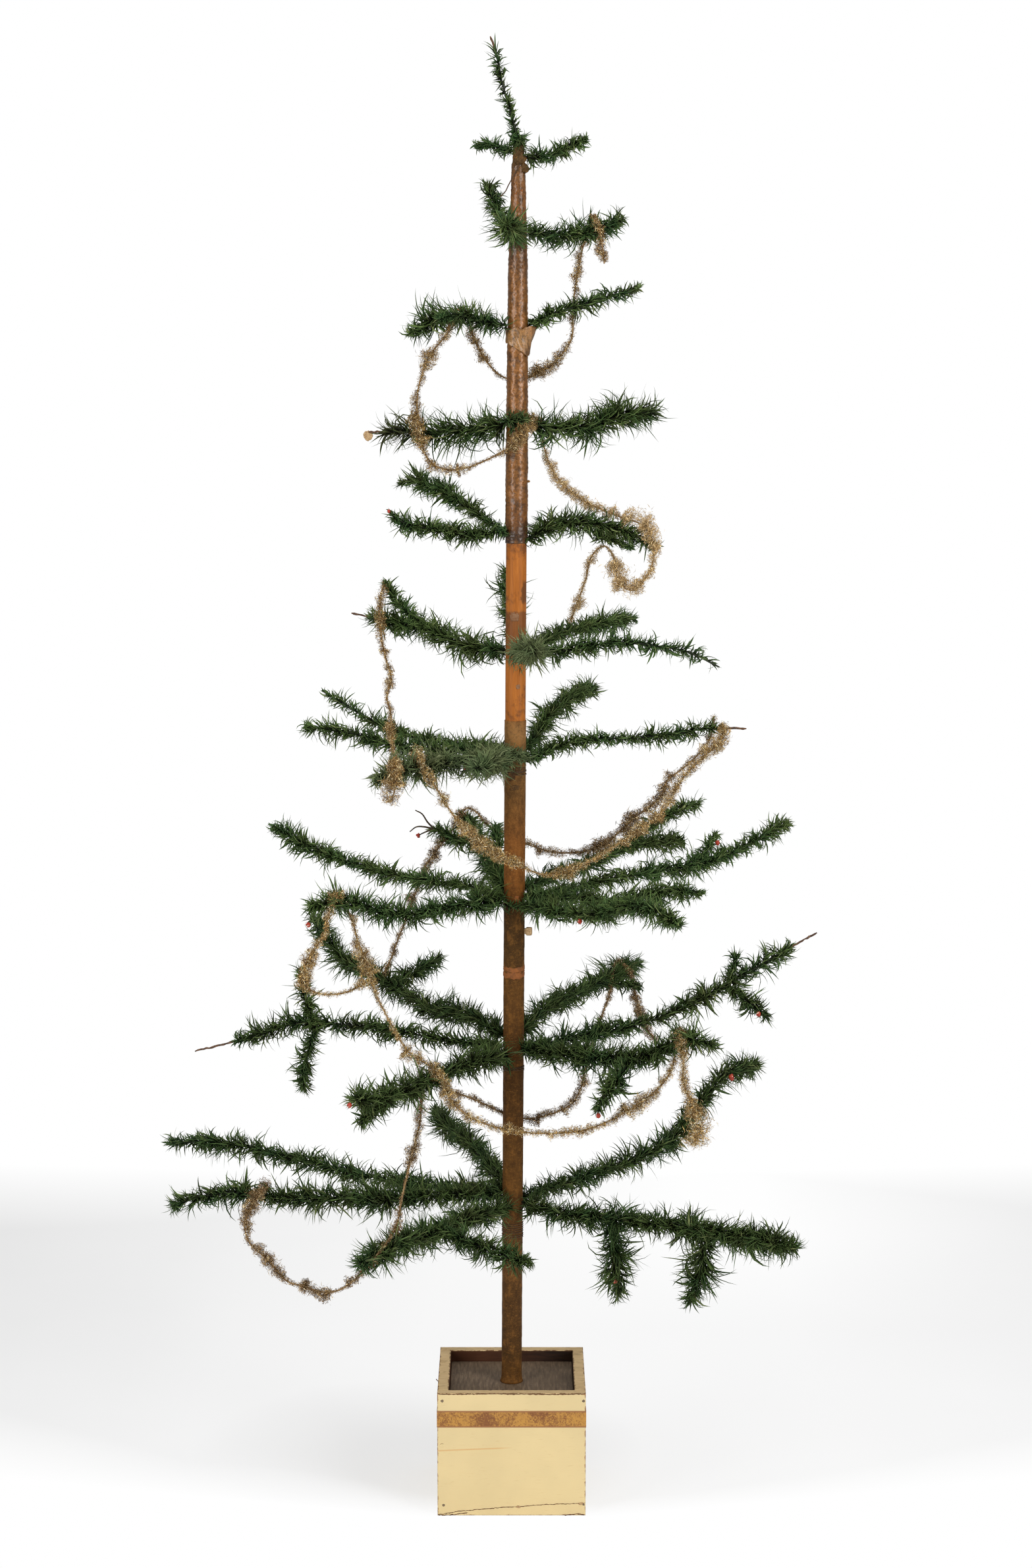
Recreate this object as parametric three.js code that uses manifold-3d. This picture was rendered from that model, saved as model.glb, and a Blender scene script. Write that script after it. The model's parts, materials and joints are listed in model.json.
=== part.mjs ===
// A feather Christmas tree in a square painted box, in millimetres, with +Z up.
// The origin is the centre of the box's underside, and the box's front faces -Y.
// Ten tiers of feather-wound wire branches leave a tapered dowel, which lifts out of the box.
// A strand of crimped tinsel hangs over the branches in seven stretches.
import * as THREE from 'three';
import { mergeVertices } from 'three/addons/utils/BufferGeometryUtils.js';
import Module from 'manifold-3d';

const wasm = await Module();
wasm.setup();

// Box
const boxWidth = 152.4;
const boxHeight = 130.5;
const boardThickness = 11.5;
const boardEase = 0.8;
const boardGap = 0.3;
const bottomThickness = 12;
const footSeatDepth = 6;
const platformThickness = 9;
const platformDrop = 12;
const bandHeight = 17.5;
const bandDrop = 18.5;
const bandThickness = 0.4;

// Trunk
const trunkLength = 1382;
const trunkFootRadius = 9.7;
const trunkMiddleRadius = 10.4;
const trunkShoulderRadius = 8.9;
const trunkTopRadius = 5.4;
const trunkLean = 7.2;
const trunkClearance = 0.5;
const wrapThickness = 0.6;
const wrapGap = 0.3;
const wrapFlare = 1.6;
const wrapFlareHeight = 7;
const upperWrapLow = 987;
const upperWrapTop = 1372;
const lowerWrapTop = 806;
const wrapFloorGap = 0.4;
const trunkSides = 20;

// Tiers of branches, numbered from the top
const tier1Height = 1382;
const tier2Height = 1305;
const tier3Height = 1213;
const tier4Height = 1114;
const tier5Height = 1006;
const tier6Height = 887;
const tier7Height = 783;
const tier8Height = 632;
const tier9Height = 476;
const tier10Height = 316;
const tier1Reach = 70;
const tier2Reach = 106;
const tier3Reach = 126;
const tier4Reach = 150;
const tier5Reach = 142;
const tier6Reach = 210;
const tier7Reach = 235;
const tier8Reach = 290;
const tier9Reach = 330;
const tier10Reach = 384;
const bindingHeight = 30;
const leaderHeight = 108;

// Feather winding: a wire stem with rings of barb tufts that lean to the tip
const stemRadius = 5;
const wireRadius = 1.5;
const rootRadius = 2.2;
const toeRadius = 0.8;
const toeLength = 3;
const barbReach = 15;
const barbLean = 9;
const ringStep = 30;
const seatGap = 0.3;
const crowdLength = 62;
const tipLength = 20;

// Tinsel strand
const tinselDiameter = 6;
const tinselStep = 3 * tinselDiameter;
const tinselSides = 8;
const tinselPress = 0.5;

const rootBarbShare = 0.2;
const tipBarbShare = 0.45;
const raggedShare = 0.16;
const ringTurn = 32;

const materials = {
  paint: new THREE.MeshStandardMaterial({ color: 0xe9d3a0, roughness: 0.7, metalness: 0 }),
  innerWood: new THREE.MeshStandardMaterial({ color: 0x55463c, roughness: 0.8, metalness: 0 }),
  band: new THREE.MeshStandardMaterial({ color: 0x7a4a22, roughness: 0.6, metalness: 0.1 }),
  dowel: new THREE.MeshStandardMaterial({ color: 0xa9622c, roughness: 0.65, metalness: 0 }),
  wrap: new THREE.MeshStandardMaterial({ color: 0x6b4226, roughness: 0.5, metalness: 0 }),
  feather: new THREE.MeshStandardMaterial({ color: 0x24452c, roughness: 0.85, metalness: 0 }),
  tinsel: new THREE.MeshStandardMaterial({ color: 0x9c7a45, roughness: 0.35, metalness: 0.7 }),
};

const tree = new THREE.Group();

function addPiece(name, geometry, material) {
  geometry.computeVertexNormals();
  const mesh = new THREE.Mesh(geometry, material);
  mesh.name = name;
  tree.add(mesh);
  return mesh;
}

// Helpers between three.js geometry and solids that can be cut and joined
function toSolid(geometry) {
  const bare = geometry.clone();
  bare.deleteAttribute('normal');
  bare.deleteAttribute('uv');
  const merged = mergeVertices(bare);
  const vertProperties = new Float32Array(merged.attributes.position.array);
  const triVerts = new Uint32Array(merged.index.array);
  return new wasm.Manifold(new wasm.Mesh({ numProp: 3, vertProperties, triVerts }));
}

function toGeometry(solid) {
  const mesh = solid.getMesh();
  const geometry = new THREE.BufferGeometry();
  geometry.setAttribute('position', new THREE.BufferAttribute(mesh.vertProperties, mesh.numProp));
  geometry.setIndex(new THREE.BufferAttribute(mesh.triVerts, 1));
  return geometry;
}

function closedGeometry(points, faces) {
  const geometry = new THREE.BufferGeometry();
  geometry.setAttribute('position', new THREE.Float32BufferAttribute(points.flatMap((p) => p.toArray()), 3));
  geometry.setIndex(faces);
  return geometry;
}

// Box of six boards and a border band
const platformTop = boxHeight - platformDrop;
const platformLow = platformTop - platformThickness;
const innerWidth = boxWidth - 2 * boardThickness;

function board(width, depth, thickness) {
  const outline = new THREE.Shape();
  const halfWidth = width / 2 - boardEase;
  const halfDepth = depth / 2 - boardEase;
  outline.moveTo(-halfWidth, -halfDepth);
  outline.lineTo(halfWidth, -halfDepth);
  outline.lineTo(halfWidth, halfDepth);
  outline.lineTo(-halfWidth, halfDepth);
  outline.closePath();
  const geometry = new THREE.ExtrudeGeometry(outline, {
    depth: thickness - 2 * boardEase,
    bevelEnabled: true,
    bevelThickness: boardEase,
    bevelSize: boardEase,
    bevelSegments: 1,
  });
  geometry.translate(0, 0, boardEase);
  return geometry;
}

// A board stood on edge with its face along X, centred on the axis and resting on z = 0
function wallBoard(width) {
  const geometry = board(width, boxHeight, boardThickness);
  geometry.translate(0, boxHeight / 2, 0);
  geometry.rotateX(Math.PI / 2);
  return geometry;
}

function makeWalls() {
  const front = wallBoard(boxWidth);
  front.translate(0, boardThickness - boxWidth / 2, 0);
  addPiece('front_board', front, materials.paint);

  const back = wallBoard(boxWidth);
  back.translate(0, boxWidth / 2, 0);
  addPiece('back_board', back, materials.paint);

  const sideWidth = innerWidth - 2 * boardGap;
  const left = wallBoard(sideWidth);
  left.rotateZ(Math.PI / 2);
  left.translate(-boxWidth / 2, 0, 0);
  addPiece('left_board', left, materials.paint);

  const right = wallBoard(sideWidth);
  right.rotateZ(Math.PI / 2);
  right.translate(boxWidth / 2 - boardThickness, 0, 0);
  addPiece('right_board', right, materials.paint);
}

const floorWidth = innerWidth - 2 * boardGap;
const footHoleRadius = trunkFootRadius + trunkClearance;

function holePlug(radius, low, high) {
  const plug = new THREE.CylinderGeometry(radius, radius, high - low, trunkSides);
  plug.rotateX(Math.PI / 2);
  plug.translate(0, 0, (low + high) / 2);
  return toSolid(plug);
}

function makeFloors() {
  const bottom = toSolid(board(floorWidth, floorWidth, bottomThickness));
  const footHole = holePlug(footHoleRadius, bottomThickness - footSeatDepth, 2 * bottomThickness);
  addPiece('bottom_board', toGeometry(bottom.subtract(footHole)), materials.innerWood);

  const platform = board(floorWidth, floorWidth, platformThickness);
  platform.translate(0, 0, platformLow);
  const trunkHole = holePlug(footHoleRadius, platformLow - platformThickness, platformTop + platformThickness);
  addPiece('platform_board', toGeometry(toSolid(platform).subtract(trunkHole)), materials.innerWood);
}

function makeBand() {
  const half = boxWidth / 2;
  const outer = half + bandThickness;
  const ring = new THREE.Shape();
  ring.moveTo(-outer, -outer);
  ring.lineTo(outer, -outer);
  ring.lineTo(outer, outer);
  ring.lineTo(-outer, outer);
  ring.closePath();
  const hole = new THREE.Path();
  hole.moveTo(-half, -half);
  hole.lineTo(-half, half);
  hole.lineTo(half, half);
  hole.lineTo(half, -half);
  hole.closePath();
  ring.holes.push(hole);
  const band = new THREE.ExtrudeGeometry(ring, { depth: bandHeight, bevelEnabled: false });
  band.translate(0, 0, boxHeight - bandDrop - bandHeight);
  addPiece('border_band', band, materials.band);
}

// Trunk: a tapered dowel that leans a little above the platform, with a paper wrap at each end
const trunkFoot = bottomThickness - footSeatDepth;
const trunkTop = trunkFoot + trunkLength;
const trunkStations = [
  { heightShare: 0, radius: trunkFootRadius },
  { heightShare: 0.45, radius: (trunkFootRadius + trunkMiddleRadius) / 2 },
  { heightShare: 0.6, radius: trunkMiddleRadius },
  { heightShare: 0.78, radius: trunkMiddleRadius },
  { heightShare: 0.915, radius: trunkShoulderRadius },
  { heightShare: 0.955, radius: (trunkShoulderRadius + trunkTopRadius) / 2 },
  { heightShare: 1, radius: trunkTopRadius },
];

function trunkShift(height) {
  return trunkLean * Math.max(0, height - platformTop) / (trunkTop - platformTop);
}

function trunkRadius(height) {
  const share = THREE.MathUtils.clamp((height - trunkFoot) / trunkLength, 0, 1);
  const next = Math.max(1, trunkStations.findIndex((station) => station.heightShare >= share));
  const low = trunkStations[next - 1];
  const high = trunkStations[next];
  const part = (share - low.heightShare) / (high.heightShare - low.heightShare);
  return THREE.MathUtils.lerp(low.radius, high.radius, part);
}

const wrapBuild = wrapGap + wrapThickness;

function isWrapped(height) {
  return height < lowerWrapTop || (height > upperWrapLow && height < upperWrapTop);
}

function trunkSurface(height) {
  return trunkRadius(height) + (isWrapped(height) ? wrapBuild : 0);
}

// Round body through stations { height, radius }, closed by caps or, with inner radii, by a bore
function roundBody(stations) {
  const points = [];
  const faces = [];
  const rings = [];
  const addRing = (height, radius) => {
    rings.push(points.length);
    for (let side = 0; side < trunkSides; side += 1) {
      const angle = 2 * Math.PI * side / trunkSides;
      const x = trunkShift(height) + radius * Math.cos(angle);
      points.push(new THREE.Vector3(x, radius * Math.sin(angle), height));
    }
  };
  for (const station of stations) addRing(station.height, station.radius);
  const bored = stations[0].inner !== undefined;
  if (bored) {
    for (const station of [...stations].reverse()) addRing(station.height, station.inner);
  }
  const bands = bored ? rings.length : rings.length - 1;
  for (let band = 0; band < bands; band += 1) {
    const low = rings[band];
    const high = rings[(band + 1) % rings.length];
    for (let side = 0; side < trunkSides; side += 1) {
      const next = (side + 1) % trunkSides;
      faces.push(low + side, low + next, high + next);
      faces.push(low + side, high + next, high + side);
    }
  }
  if (!bored) {
    const last = rings[rings.length - 1];
    for (let side = 1; side < trunkSides - 1; side += 1) {
      faces.push(rings[0], rings[0] + side + 1, rings[0] + side);
      faces.push(last, last + side, last + side + 1);
    }
  }
  return closedGeometry(points, faces);
}

function trunkHeights(low, high) {
  const between = trunkStations.map((station) => trunkFoot + station.heightShare * trunkLength);
  const inside = [platformTop, ...between].filter((height) => height > low && height < high);
  return [low, ...inside.sort((a, b) => a - b), high];
}

function makeTrunk() {
  const dowelStations = trunkHeights(trunkFoot, trunkTop);
  const dowel = roundBody(dowelStations.map((height) => ({ height, radius: trunkRadius(height) })));
  addPiece('trunk_dowel', dowel, materials.dowel);

  const sleeve = (heights, flareEnd) => roundBody(heights.map((height) => {
    const flare = height === flareEnd ? wrapFlare : 0;
    const inner = trunkRadius(height) + wrapGap;
    return { height, radius: inner + wrapThickness + flare, inner: inner + flare };
  }));
  addPiece('upper_wrap', sleeve(trunkHeights(upperWrapLow, upperWrapTop), undefined), materials.wrap);

  const lowerWrapLow = platformTop + wrapFloorGap;
  const aboveFlare = trunkHeights(lowerWrapLow + wrapFlareHeight, lowerWrapTop);
  addPiece('lower_wrap', sleeve([lowerWrapLow, ...aboveFlare], lowerWrapLow), materials.wrap);
}

// Branch tables. A turn is the heading in degrees, from +X towards +Y, and a pitch is above level.
// Rises are even steps outward, as shares of the branch's own reach.
const tiers = [
  {
    height: tier1Height,
    reach: tier1Reach,
    branches: [
      {
        name: 'tier1_left', turn: 172, reachShare: 0.64, liftShare: 0.1,
        riseShares: [0, 0.05, 0.1, 0.15, 0.09],
      },
      {
        name: 'tier1_right', turn: -8, reachShare: 1, liftShare: -0.1,
        riseShares: [0, 0, 0.06, 0.17, 0.235],
      },
    ],
  },
  {
    height: tier2Height,
    reach: tier2Reach,
    branches: [
      {
        name: 'tier2_back_left', turn: 140, reachShare: 0.4, liftShare: 0.2,
        outShares: [0, 0.3, 0.7, 1], riseShares: [0, 0.1, 0.62, 1.05],
      },
      {
        name: 'tier2_front', turn: 262, reachShare: 0.7, liftShare: 0,
        riseShares: [0, 0.02, 0.04, 0.05],
      },
      {
        name: 'tier2_right', turn: -4, reachShare: 1, liftShare: 0,
        riseShares: [0, -0.015, -0.01, 0.04, 0.14],
      },
    ],
  },
  {
    height: tier3Height,
    reach: tier3Reach,
    branches: [
      {
        name: 'tier3_left', turn: 188, reachShare: 0.87, liftShare: 0,
        riseShares: [0, 0.045, 0.1, 0.04, -0.075],
      },
      {
        name: 'tier3_right', turn: 14, reachShare: 1, liftShare: 0,
        riseShares: [0, 0.105, 0.165, 0.24, 0.3],
      },
    ],
  },
  {
    height: tier4Height,
    reach: tier4Reach,
    branches: [
      {
        name: 'tier4_left', turn: 186, reachShare: 1, liftShare: 0, bareShare: 0.12,
        riseShares: [0, -0.03, -0.045, -0.04, -0.04],
      },
      {
        name: 'tier4_right', turn: 8, reachShare: 0.95, liftShare: 0,
        riseShares: [0, -0.02, -0.005, 0.075, 0.085],
      },
    ],
  },
  {
    height: tier5Height,
    reach: tier5Reach,
    branches: [
      {
        name: 'tier5_back_left', turn: 150, reachShare: 1, liftShare: 0,
        riseShares: [0, 0.075, 0.17, 0.25, 0.315, 0.35, 0.33],
      },
      {
        name: 'tier5_front_left', turn: 208, reachShare: 1, liftShare: 0.1,
        riseShares: [0, -0.02, -0.02, 0, 0.035, 0.06, 0.15],
      },
      {
        name: 'tier5_right', turn: -4, reachShare: 1, liftShare: -0.2,
        riseShares: [0, 0.11, 0.115, 0.06, -0.055],
      },
    ],
  },
  {
    height: tier6Height,
    reach: tier6Reach,
    branches: [
      {
        name: 'tier6_left', turn: 160, reachShare: 0.86, liftShare: 0, bareShare: 0.13,
        riseShares: [0, 0.005, 0.04, 0.105, 0.13, 0.155, 0.18],
        twigs: [{ atShare: 0.49, turn: 5, lengthShare: 0.39, pitch: 28, endPitch: 62 }],
      },
      {
        name: 'tier6_back', turn: 97, reachShare: 0.34, liftShare: 0.2,
        outShares: [0, 0.35, 0.7, 1], riseShares: [0, 0.2, 0.65, 1],
      },
      {
        name: 'tier6_front', turn: 281, reachShare: 0.45, liftShare: 0,
        riseShares: [0, 0.02, 0.06, 0.12],
      },
      {
        name: 'tier6_back_right', turn: 46, reachShare: 0.87, liftShare: 0,
        riseShares: [0, 0.035, 0.07, 0.095, 0.1, 0.115, 0.11],
      },
      {
        name: 'tier6_right', turn: -14, reachShare: 1, liftShare: 0,
        riseShares: [0, 0, 0.03, 0.05, 0.04, 0.015, -0.055],
      },
    ],
  },
  {
    height: tier7Height,
    reach: tier7Reach,
    branches: [
      {
        name: 'tier7_back_left', turn: 150, reachShare: 1, liftShare: 0.1,
        riseShares: [0, 0, 0.005, 0.02, 0.065, 0.125, 0.2],
      },
      {
        name: 'tier7_left', turn: 194, reachShare: 0.92, liftShare: 0,
        riseShares: [0, 0.015, 0.025, 0.04, 0.085, 0.13, 0.15],
      },
      {
        name: 'tier7_front_left', turn: 226, reachShare: 0.83, liftShare: -0.1,
        riseShares: [0, 0, 0.005, 0.005, 0, 0.005, -0.03],
      },
      {
        name: 'tier7_front', turn: 251, reachShare: 0.5, liftShare: -0.15,
        riseShares: [0, 0.01, 0.02, 0.03],
      },
      {
        name: 'tier7_back_right', turn: 60, reachShare: 0.72, liftShare: 0.1,
        riseShares: [0, 0.04, 0.15, 0.205, 0.245, 0.265, 0.265],
      },
      {
        name: 'tier7_right', turn: -6, reachShare: 1, liftShare: -0.3, bareShare: 0.12,
        riseShares: [0, 0.075, 0.1, 0.11, 0.125, 0.155, 0.155],
      },
    ],
  },
  {
    height: tier8Height,
    reach: tier8Reach,
    branches: [
      {
        name: 'tier8_left', turn: 158, reachShare: 0.95, liftShare: 0,
        riseShares: [0, 0.035, 0.045, 0.06, 0.095, 0.145, 0.215],
      },
      {
        name: 'tier8_front_left', turn: 214, reachShare: 0.84, liftShare: 0,
        riseShares: [0, 0, -0.005, -0.02, 0.02, 0.075, 0.065],
      },
      {
        name: 'tier8_back', turn: 110, reachShare: 0.55, liftShare: 0, riseShares: [0, 0.1, 0.21, 0.31, 0.41],
        twigs: [
          { atShare: 0.6, turn: 42, lengthShare: 0.38, pitch: 2, endPitch: 26 },
          { atShare: 0.2, turn: -6, lengthShare: 0.36, pitch: 58, endPitch: 78 },
        ],
      },
      {
        name: 'tier8_back_right', turn: 45, reachShare: 0.88, liftShare: 0.3,
        riseShares: [0, 0.025, 0.045, 0.075, 0.095, 0.095, 0.085],
        twigs: [{ atShare: 0.6, turn: -15, lengthShare: 0.44, pitch: 38, endPitch: 8 }],
      },
      {
        name: 'tier8_right', turn: 10, reachShare: 1, liftShare: 0,
        riseShares: [0, 0.03, 0.06, 0.085, 0.105, 0.165, 0.245],
        twigs: [{ atShare: 0.62, turn: 15, lengthShare: 0.15, pitch: 42, endPitch: 62 }],
      },
      {
        name: 'tier8_front_right', turn: -28, reachShare: 0.74, liftShare: 0,
        riseShares: [0, 0.025, 0.03, 0.035, 0.065, 0.105, 0.105],
      },
      {
        name: 'tier8_front', turn: -54, reachShare: 0.94, liftShare: -0.2,
        riseShares: [0, 0.01, 0.02, 0.04, 0.09, 0.1, 0.065],
      },
    ],
  },
  {
    height: tier9Height,
    reach: tier9Reach,
    branches: [
      {
        name: 'tier9_back_left', turn: 136, reachShare: 0.93, liftShare: 0.3,
        riseShares: [0, 0.045, 0.04, 0.075, 0.125, 0.16, 0.29],
        twigs: [{ atShare: 0.56, turn: -96, lengthShare: 0.24, pitch: 8, endPitch: 26 }],
      },
      {
        name: 'tier9_left', turn: 178, reachShare: 1, liftShare: 0, bareShare: 0.14,
        riseShares: [0, 0.02, 0.045, 0.065, 0.07, 0.02, -0.02],
        twigs: [
          { atShare: 0.6, turn: 12, lengthShare: 0.22, pitch: -72, endPitch: -86 },
          { atShare: 0.61, turn: -20, lengthShare: 0.18, pitch: 70, endPitch: 86 },
        ],
      },
      {
        name: 'tier9_front_left', turn: 234, reachShare: 0.8, liftShare: -0.2,
        riseShares: [0, 0.01, 0.01, 0, -0.015, -0.02, 0.01],
        twigs: [{ atShare: 0.74, turn: -10, lengthShare: 0.2, pitch: -18, endPitch: -32 }],
      },
      {
        name: 'tier9_back_right', turn: 58, reachShare: 0.8, liftShare: 0.4,
        riseShares: [0, 0.055, 0.08, 0.085, 0.1, 0.115, 0.12],
        twigs: [{ atShare: 0.66, turn: -48, lengthShare: 0.17, pitch: -14, endPitch: -4 }],
      },
      {
        name: 'tier9_right', turn: 6, reachShare: 0.96, liftShare: 0, bareShare: 0.1,
        riseShares: [0, 0.025, 0.055, 0.1, 0.18, 0.27, 0.36],
        twigs: [
          { atShare: 0.66, turn: -18, lengthShare: 0.18, pitch: -25, endPitch: -42 },
          { atShare: 0.68, turn: 20, lengthShare: 0.1, pitch: 65, endPitch: 80 },
        ],
      },
      {
        name: 'tier9_front_right', turn: -40, reachShare: 0.785, liftShare: 0,
        riseShares: [0, 0.005, 0.015, 0.03, 0.065, 0.15, 0.15],
        twigs: [{ atShare: 0.57, turn: -90, lengthShare: 0.28, pitch: -28, endPitch: -46 }],
      },
    ],
  },
  {
    height: tier10Height,
    reach: tier10Reach,
    branches: [
      {
        name: 'tier10_back_left', turn: 163, reachShare: 1, liftShare: 0.2,
        riseShares: [0, 0, 0.005, 0.025, 0.05, 0.075, 0.06],
      },
      {
        name: 'tier10_left', turn: 200, reachShare: 0.95, liftShare: 0.1,
        riseShares: [0, 0.02, 0.02, 0.04, 0.055, 0.085, 0.065],
      },
      {
        name: 'tier10_back', turn: 112, reachShare: 0.6, liftShare: 0.2,
        riseShares: [0, 0.03, 0.075, 0.105, 0.1, 0.11, 0.15],
      },
      {
        name: 'tier10_front_left', turn: 240, reachShare: 0.77, liftShare: -0.3,
        riseShares: [0, 0.02, 0.035, 0.035, 0.05, 0.055, 0.045],
        twigs: [{ atShare: 0.48, turn: 85, lengthShare: 0.38, pitch: -10, endPitch: -4 }],
      },
      {
        name: 'tier10_back_right', turn: 38, reachShare: 0.89, liftShare: 0,
        riseShares: [0, 0.01, 0.025, 0.045, 0.105, 0.25, 0.27],
      },
      {
        name: 'tier10_right', turn: -28, reachShare: 0.825, liftShare: -0.1,
        riseShares: [0, -0.02, -0.015, -0.01, -0.005, -0.01, -0.015],
        twigs: [
          { atShare: 0.33, turn: 10, lengthShare: 0.25, pitch: -78, endPitch: -88 },
          { atShare: 0.69, turn: 208, lengthShare: 0.25, pitch: -88, endPitch: -64 },
        ],
      },
    ],
  },
];

function heading(turn) {
  const angle = THREE.MathUtils.degToRad(turn);
  return new THREE.Vector3(Math.cos(angle), Math.sin(angle), 0);
}

// The spine of a branch, from the trunk's surface outward in one upright plane
function branchSpine(row, tier) {
  const rootHeight = tier.height + row.liftShare * bindingHeight;
  const reach = row.reachShare * tier.reach;
  const outward = heading(row.turn);
  const root = trunkSurface(rootHeight) + seatGap;
  const steps = row.riseShares.length - 1;
  const points = row.riseShares.map((rise, step) => {
    const out = row.outShares ? row.outShares[step] : step / steps;
    const point = outward.clone().multiplyScalar(root + (reach - root) * out);
    point.x += trunkShift(rootHeight);
    point.z = rootHeight + rise * reach;
    return point;
  });
  return new THREE.CatmullRomCurve3(points, false, 'centripetal');
}

// The spine of a side twig, an arc in an upright plane that starts inside its branch
function twigSpine(twig, branchCurve, branchTurn, reach) {
  const start = branchCurve.getPointAt(twig.atShare);
  const outward = heading(branchTurn + twig.turn);
  const length = twig.lengthShare * reach;
  const steps = 4;
  const points = [start];
  for (let step = 1; step <= steps; step += 1) {
    const turned = THREE.MathUtils.lerp(twig.pitch, twig.endPitch, (step - 0.5) / steps);
    const pitch = THREE.MathUtils.degToRad(turned);
    const last = points[points.length - 1].clone();
    last.addScaledVector(outward, length * Math.cos(pitch) / steps);
    last.z += length * Math.sin(pitch) / steps;
    points.push(last);
  }
  return new THREE.CatmullRomCurve3(points, false, 'centripetal');
}

function ragged(ring, side, seed) {
  return 1 + raggedShare * Math.sin(2.4 * ring + 3.7 * side + seed);
}

// One feather-wound wire: a four-sided stem whose every facet is drawn out into a leaning barb tuft
function featherGeometry(curve, outward, options) {
  const { bareShare = 0, crowd = 0, seed = 0 } = options;
  const length = curve.getLength();
  const feathered = length * (1 - bareShare);
  const rings = Math.max(3, Math.round(feathered / ringStep));
  const side = new THREE.Vector3(outward.y, -outward.x, 0);
  const turnAt = (ring) => THREE.MathUtils.degToRad(ringTurn) * ring;
  const points = [];
  const faces = [];
  const centres = [];
  const frameAt = (share) => {
    const onCurve = Math.min(1, share);
    const tangent = curve.getTangentAt(onCurve);
    const normal = new THREE.Vector3().crossVectors(tangent, side);
    return { centre: curve.getPointAt(onCurve), tangent, normal };
  };
  const fullness = (along) => {
    const fromRoot = crowd > 0 ? Math.min(1, rootBarbShare + (1 - rootBarbShare) * along / crowd) : 1;
    const toTip = Math.min(1, tipBarbShare + (1 - tipBarbShare) * (feathered - along) / tipLength);
    return fromRoot * toTip;
  };
  const addRing = (share, radius, turn) => {
    const { centre, normal } = frameAt(share);
    centres.push(points.length);
    for (let corner = 0; corner < 4; corner += 1) {
      const angle = turn + corner * Math.PI / 2;
      const point = centre.clone();
      point.addScaledVector(side, radius * Math.cos(angle));
      point.addScaledVector(normal, radius * Math.sin(angle));
      points.push(point);
    }
  };
  addRing(toeLength / length, rootRadius, 0);
  for (let ring = 1; ring <= rings; ring += 1) {
    const along = feathered * ring / rings;
    addRing(along / length, Math.max(wireRadius, stemRadius * fullness(along)), turnAt(ring));
  }
  for (let ring = 0; ring < rings; ring += 1) {
    const along = feathered * (ring + 0.5) / rings;
    const { centre, tangent } = frameAt(along / length);
    for (let corner = 0; corner < 4; corner += 1) {
      const next = (corner + 1) % 4;
      const a = centres[ring] + corner;
      const b = centres[ring] + next;
      const c = centres[ring + 1] + next;
      const d = centres[ring + 1] + corner;
      const middle = new THREE.Vector3();
      for (const index of [a, b, c, d]) middle.addScaledVector(points[index], 1 / 4);
      const away = middle.clone().sub(centre);
      away.addScaledVector(tangent, -away.dot(tangent)).normalize();
      const tall = barbReach * fullness(along) * ragged(ring, corner, seed);
      const apex = centre.clone().addScaledVector(away, tall);
      apex.addScaledVector(tangent, barbLean * fullness(along));
      const tip = points.length;
      points.push(apex);
      faces.push(a, b, tip, b, c, tip, c, d, tip, d, a, tip);
    }
  }
  const joinRings = (low, high) => {
    for (let corner = 0; corner < 4; corner += 1) {
      const next = (corner + 1) % 4;
      faces.push(low + corner, low + next, high + next, low + corner, high + next, high + corner);
    }
  };
  addRing(0, toeRadius, 0);
  const toe = centres[rings + 1];
  joinRings(toe, centres[0]);
  faces.push(toe, toe + 2, toe + 1, toe, toe + 3, toe + 2);
  let last = centres[rings];
  if (bareShare > 0) {
    addRing((feathered / length + 1) / 2, wireRadius, turnAt(rings));
    const bare = centres[rings + 2];
    joinRings(last, bare);
    last = bare;
  }
  const end = points.length;
  const tipFrame = frameAt(1);
  points.push(tipFrame.centre.addScaledVector(tipFrame.tangent, bareShare > 0 ? 0 : barbLean));
  for (let corner = 0; corner < 4; corner += 1) faces.push(last + corner, last + (corner + 1) % 4, end);
  return closedGeometry(points, faces);
}

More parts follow.
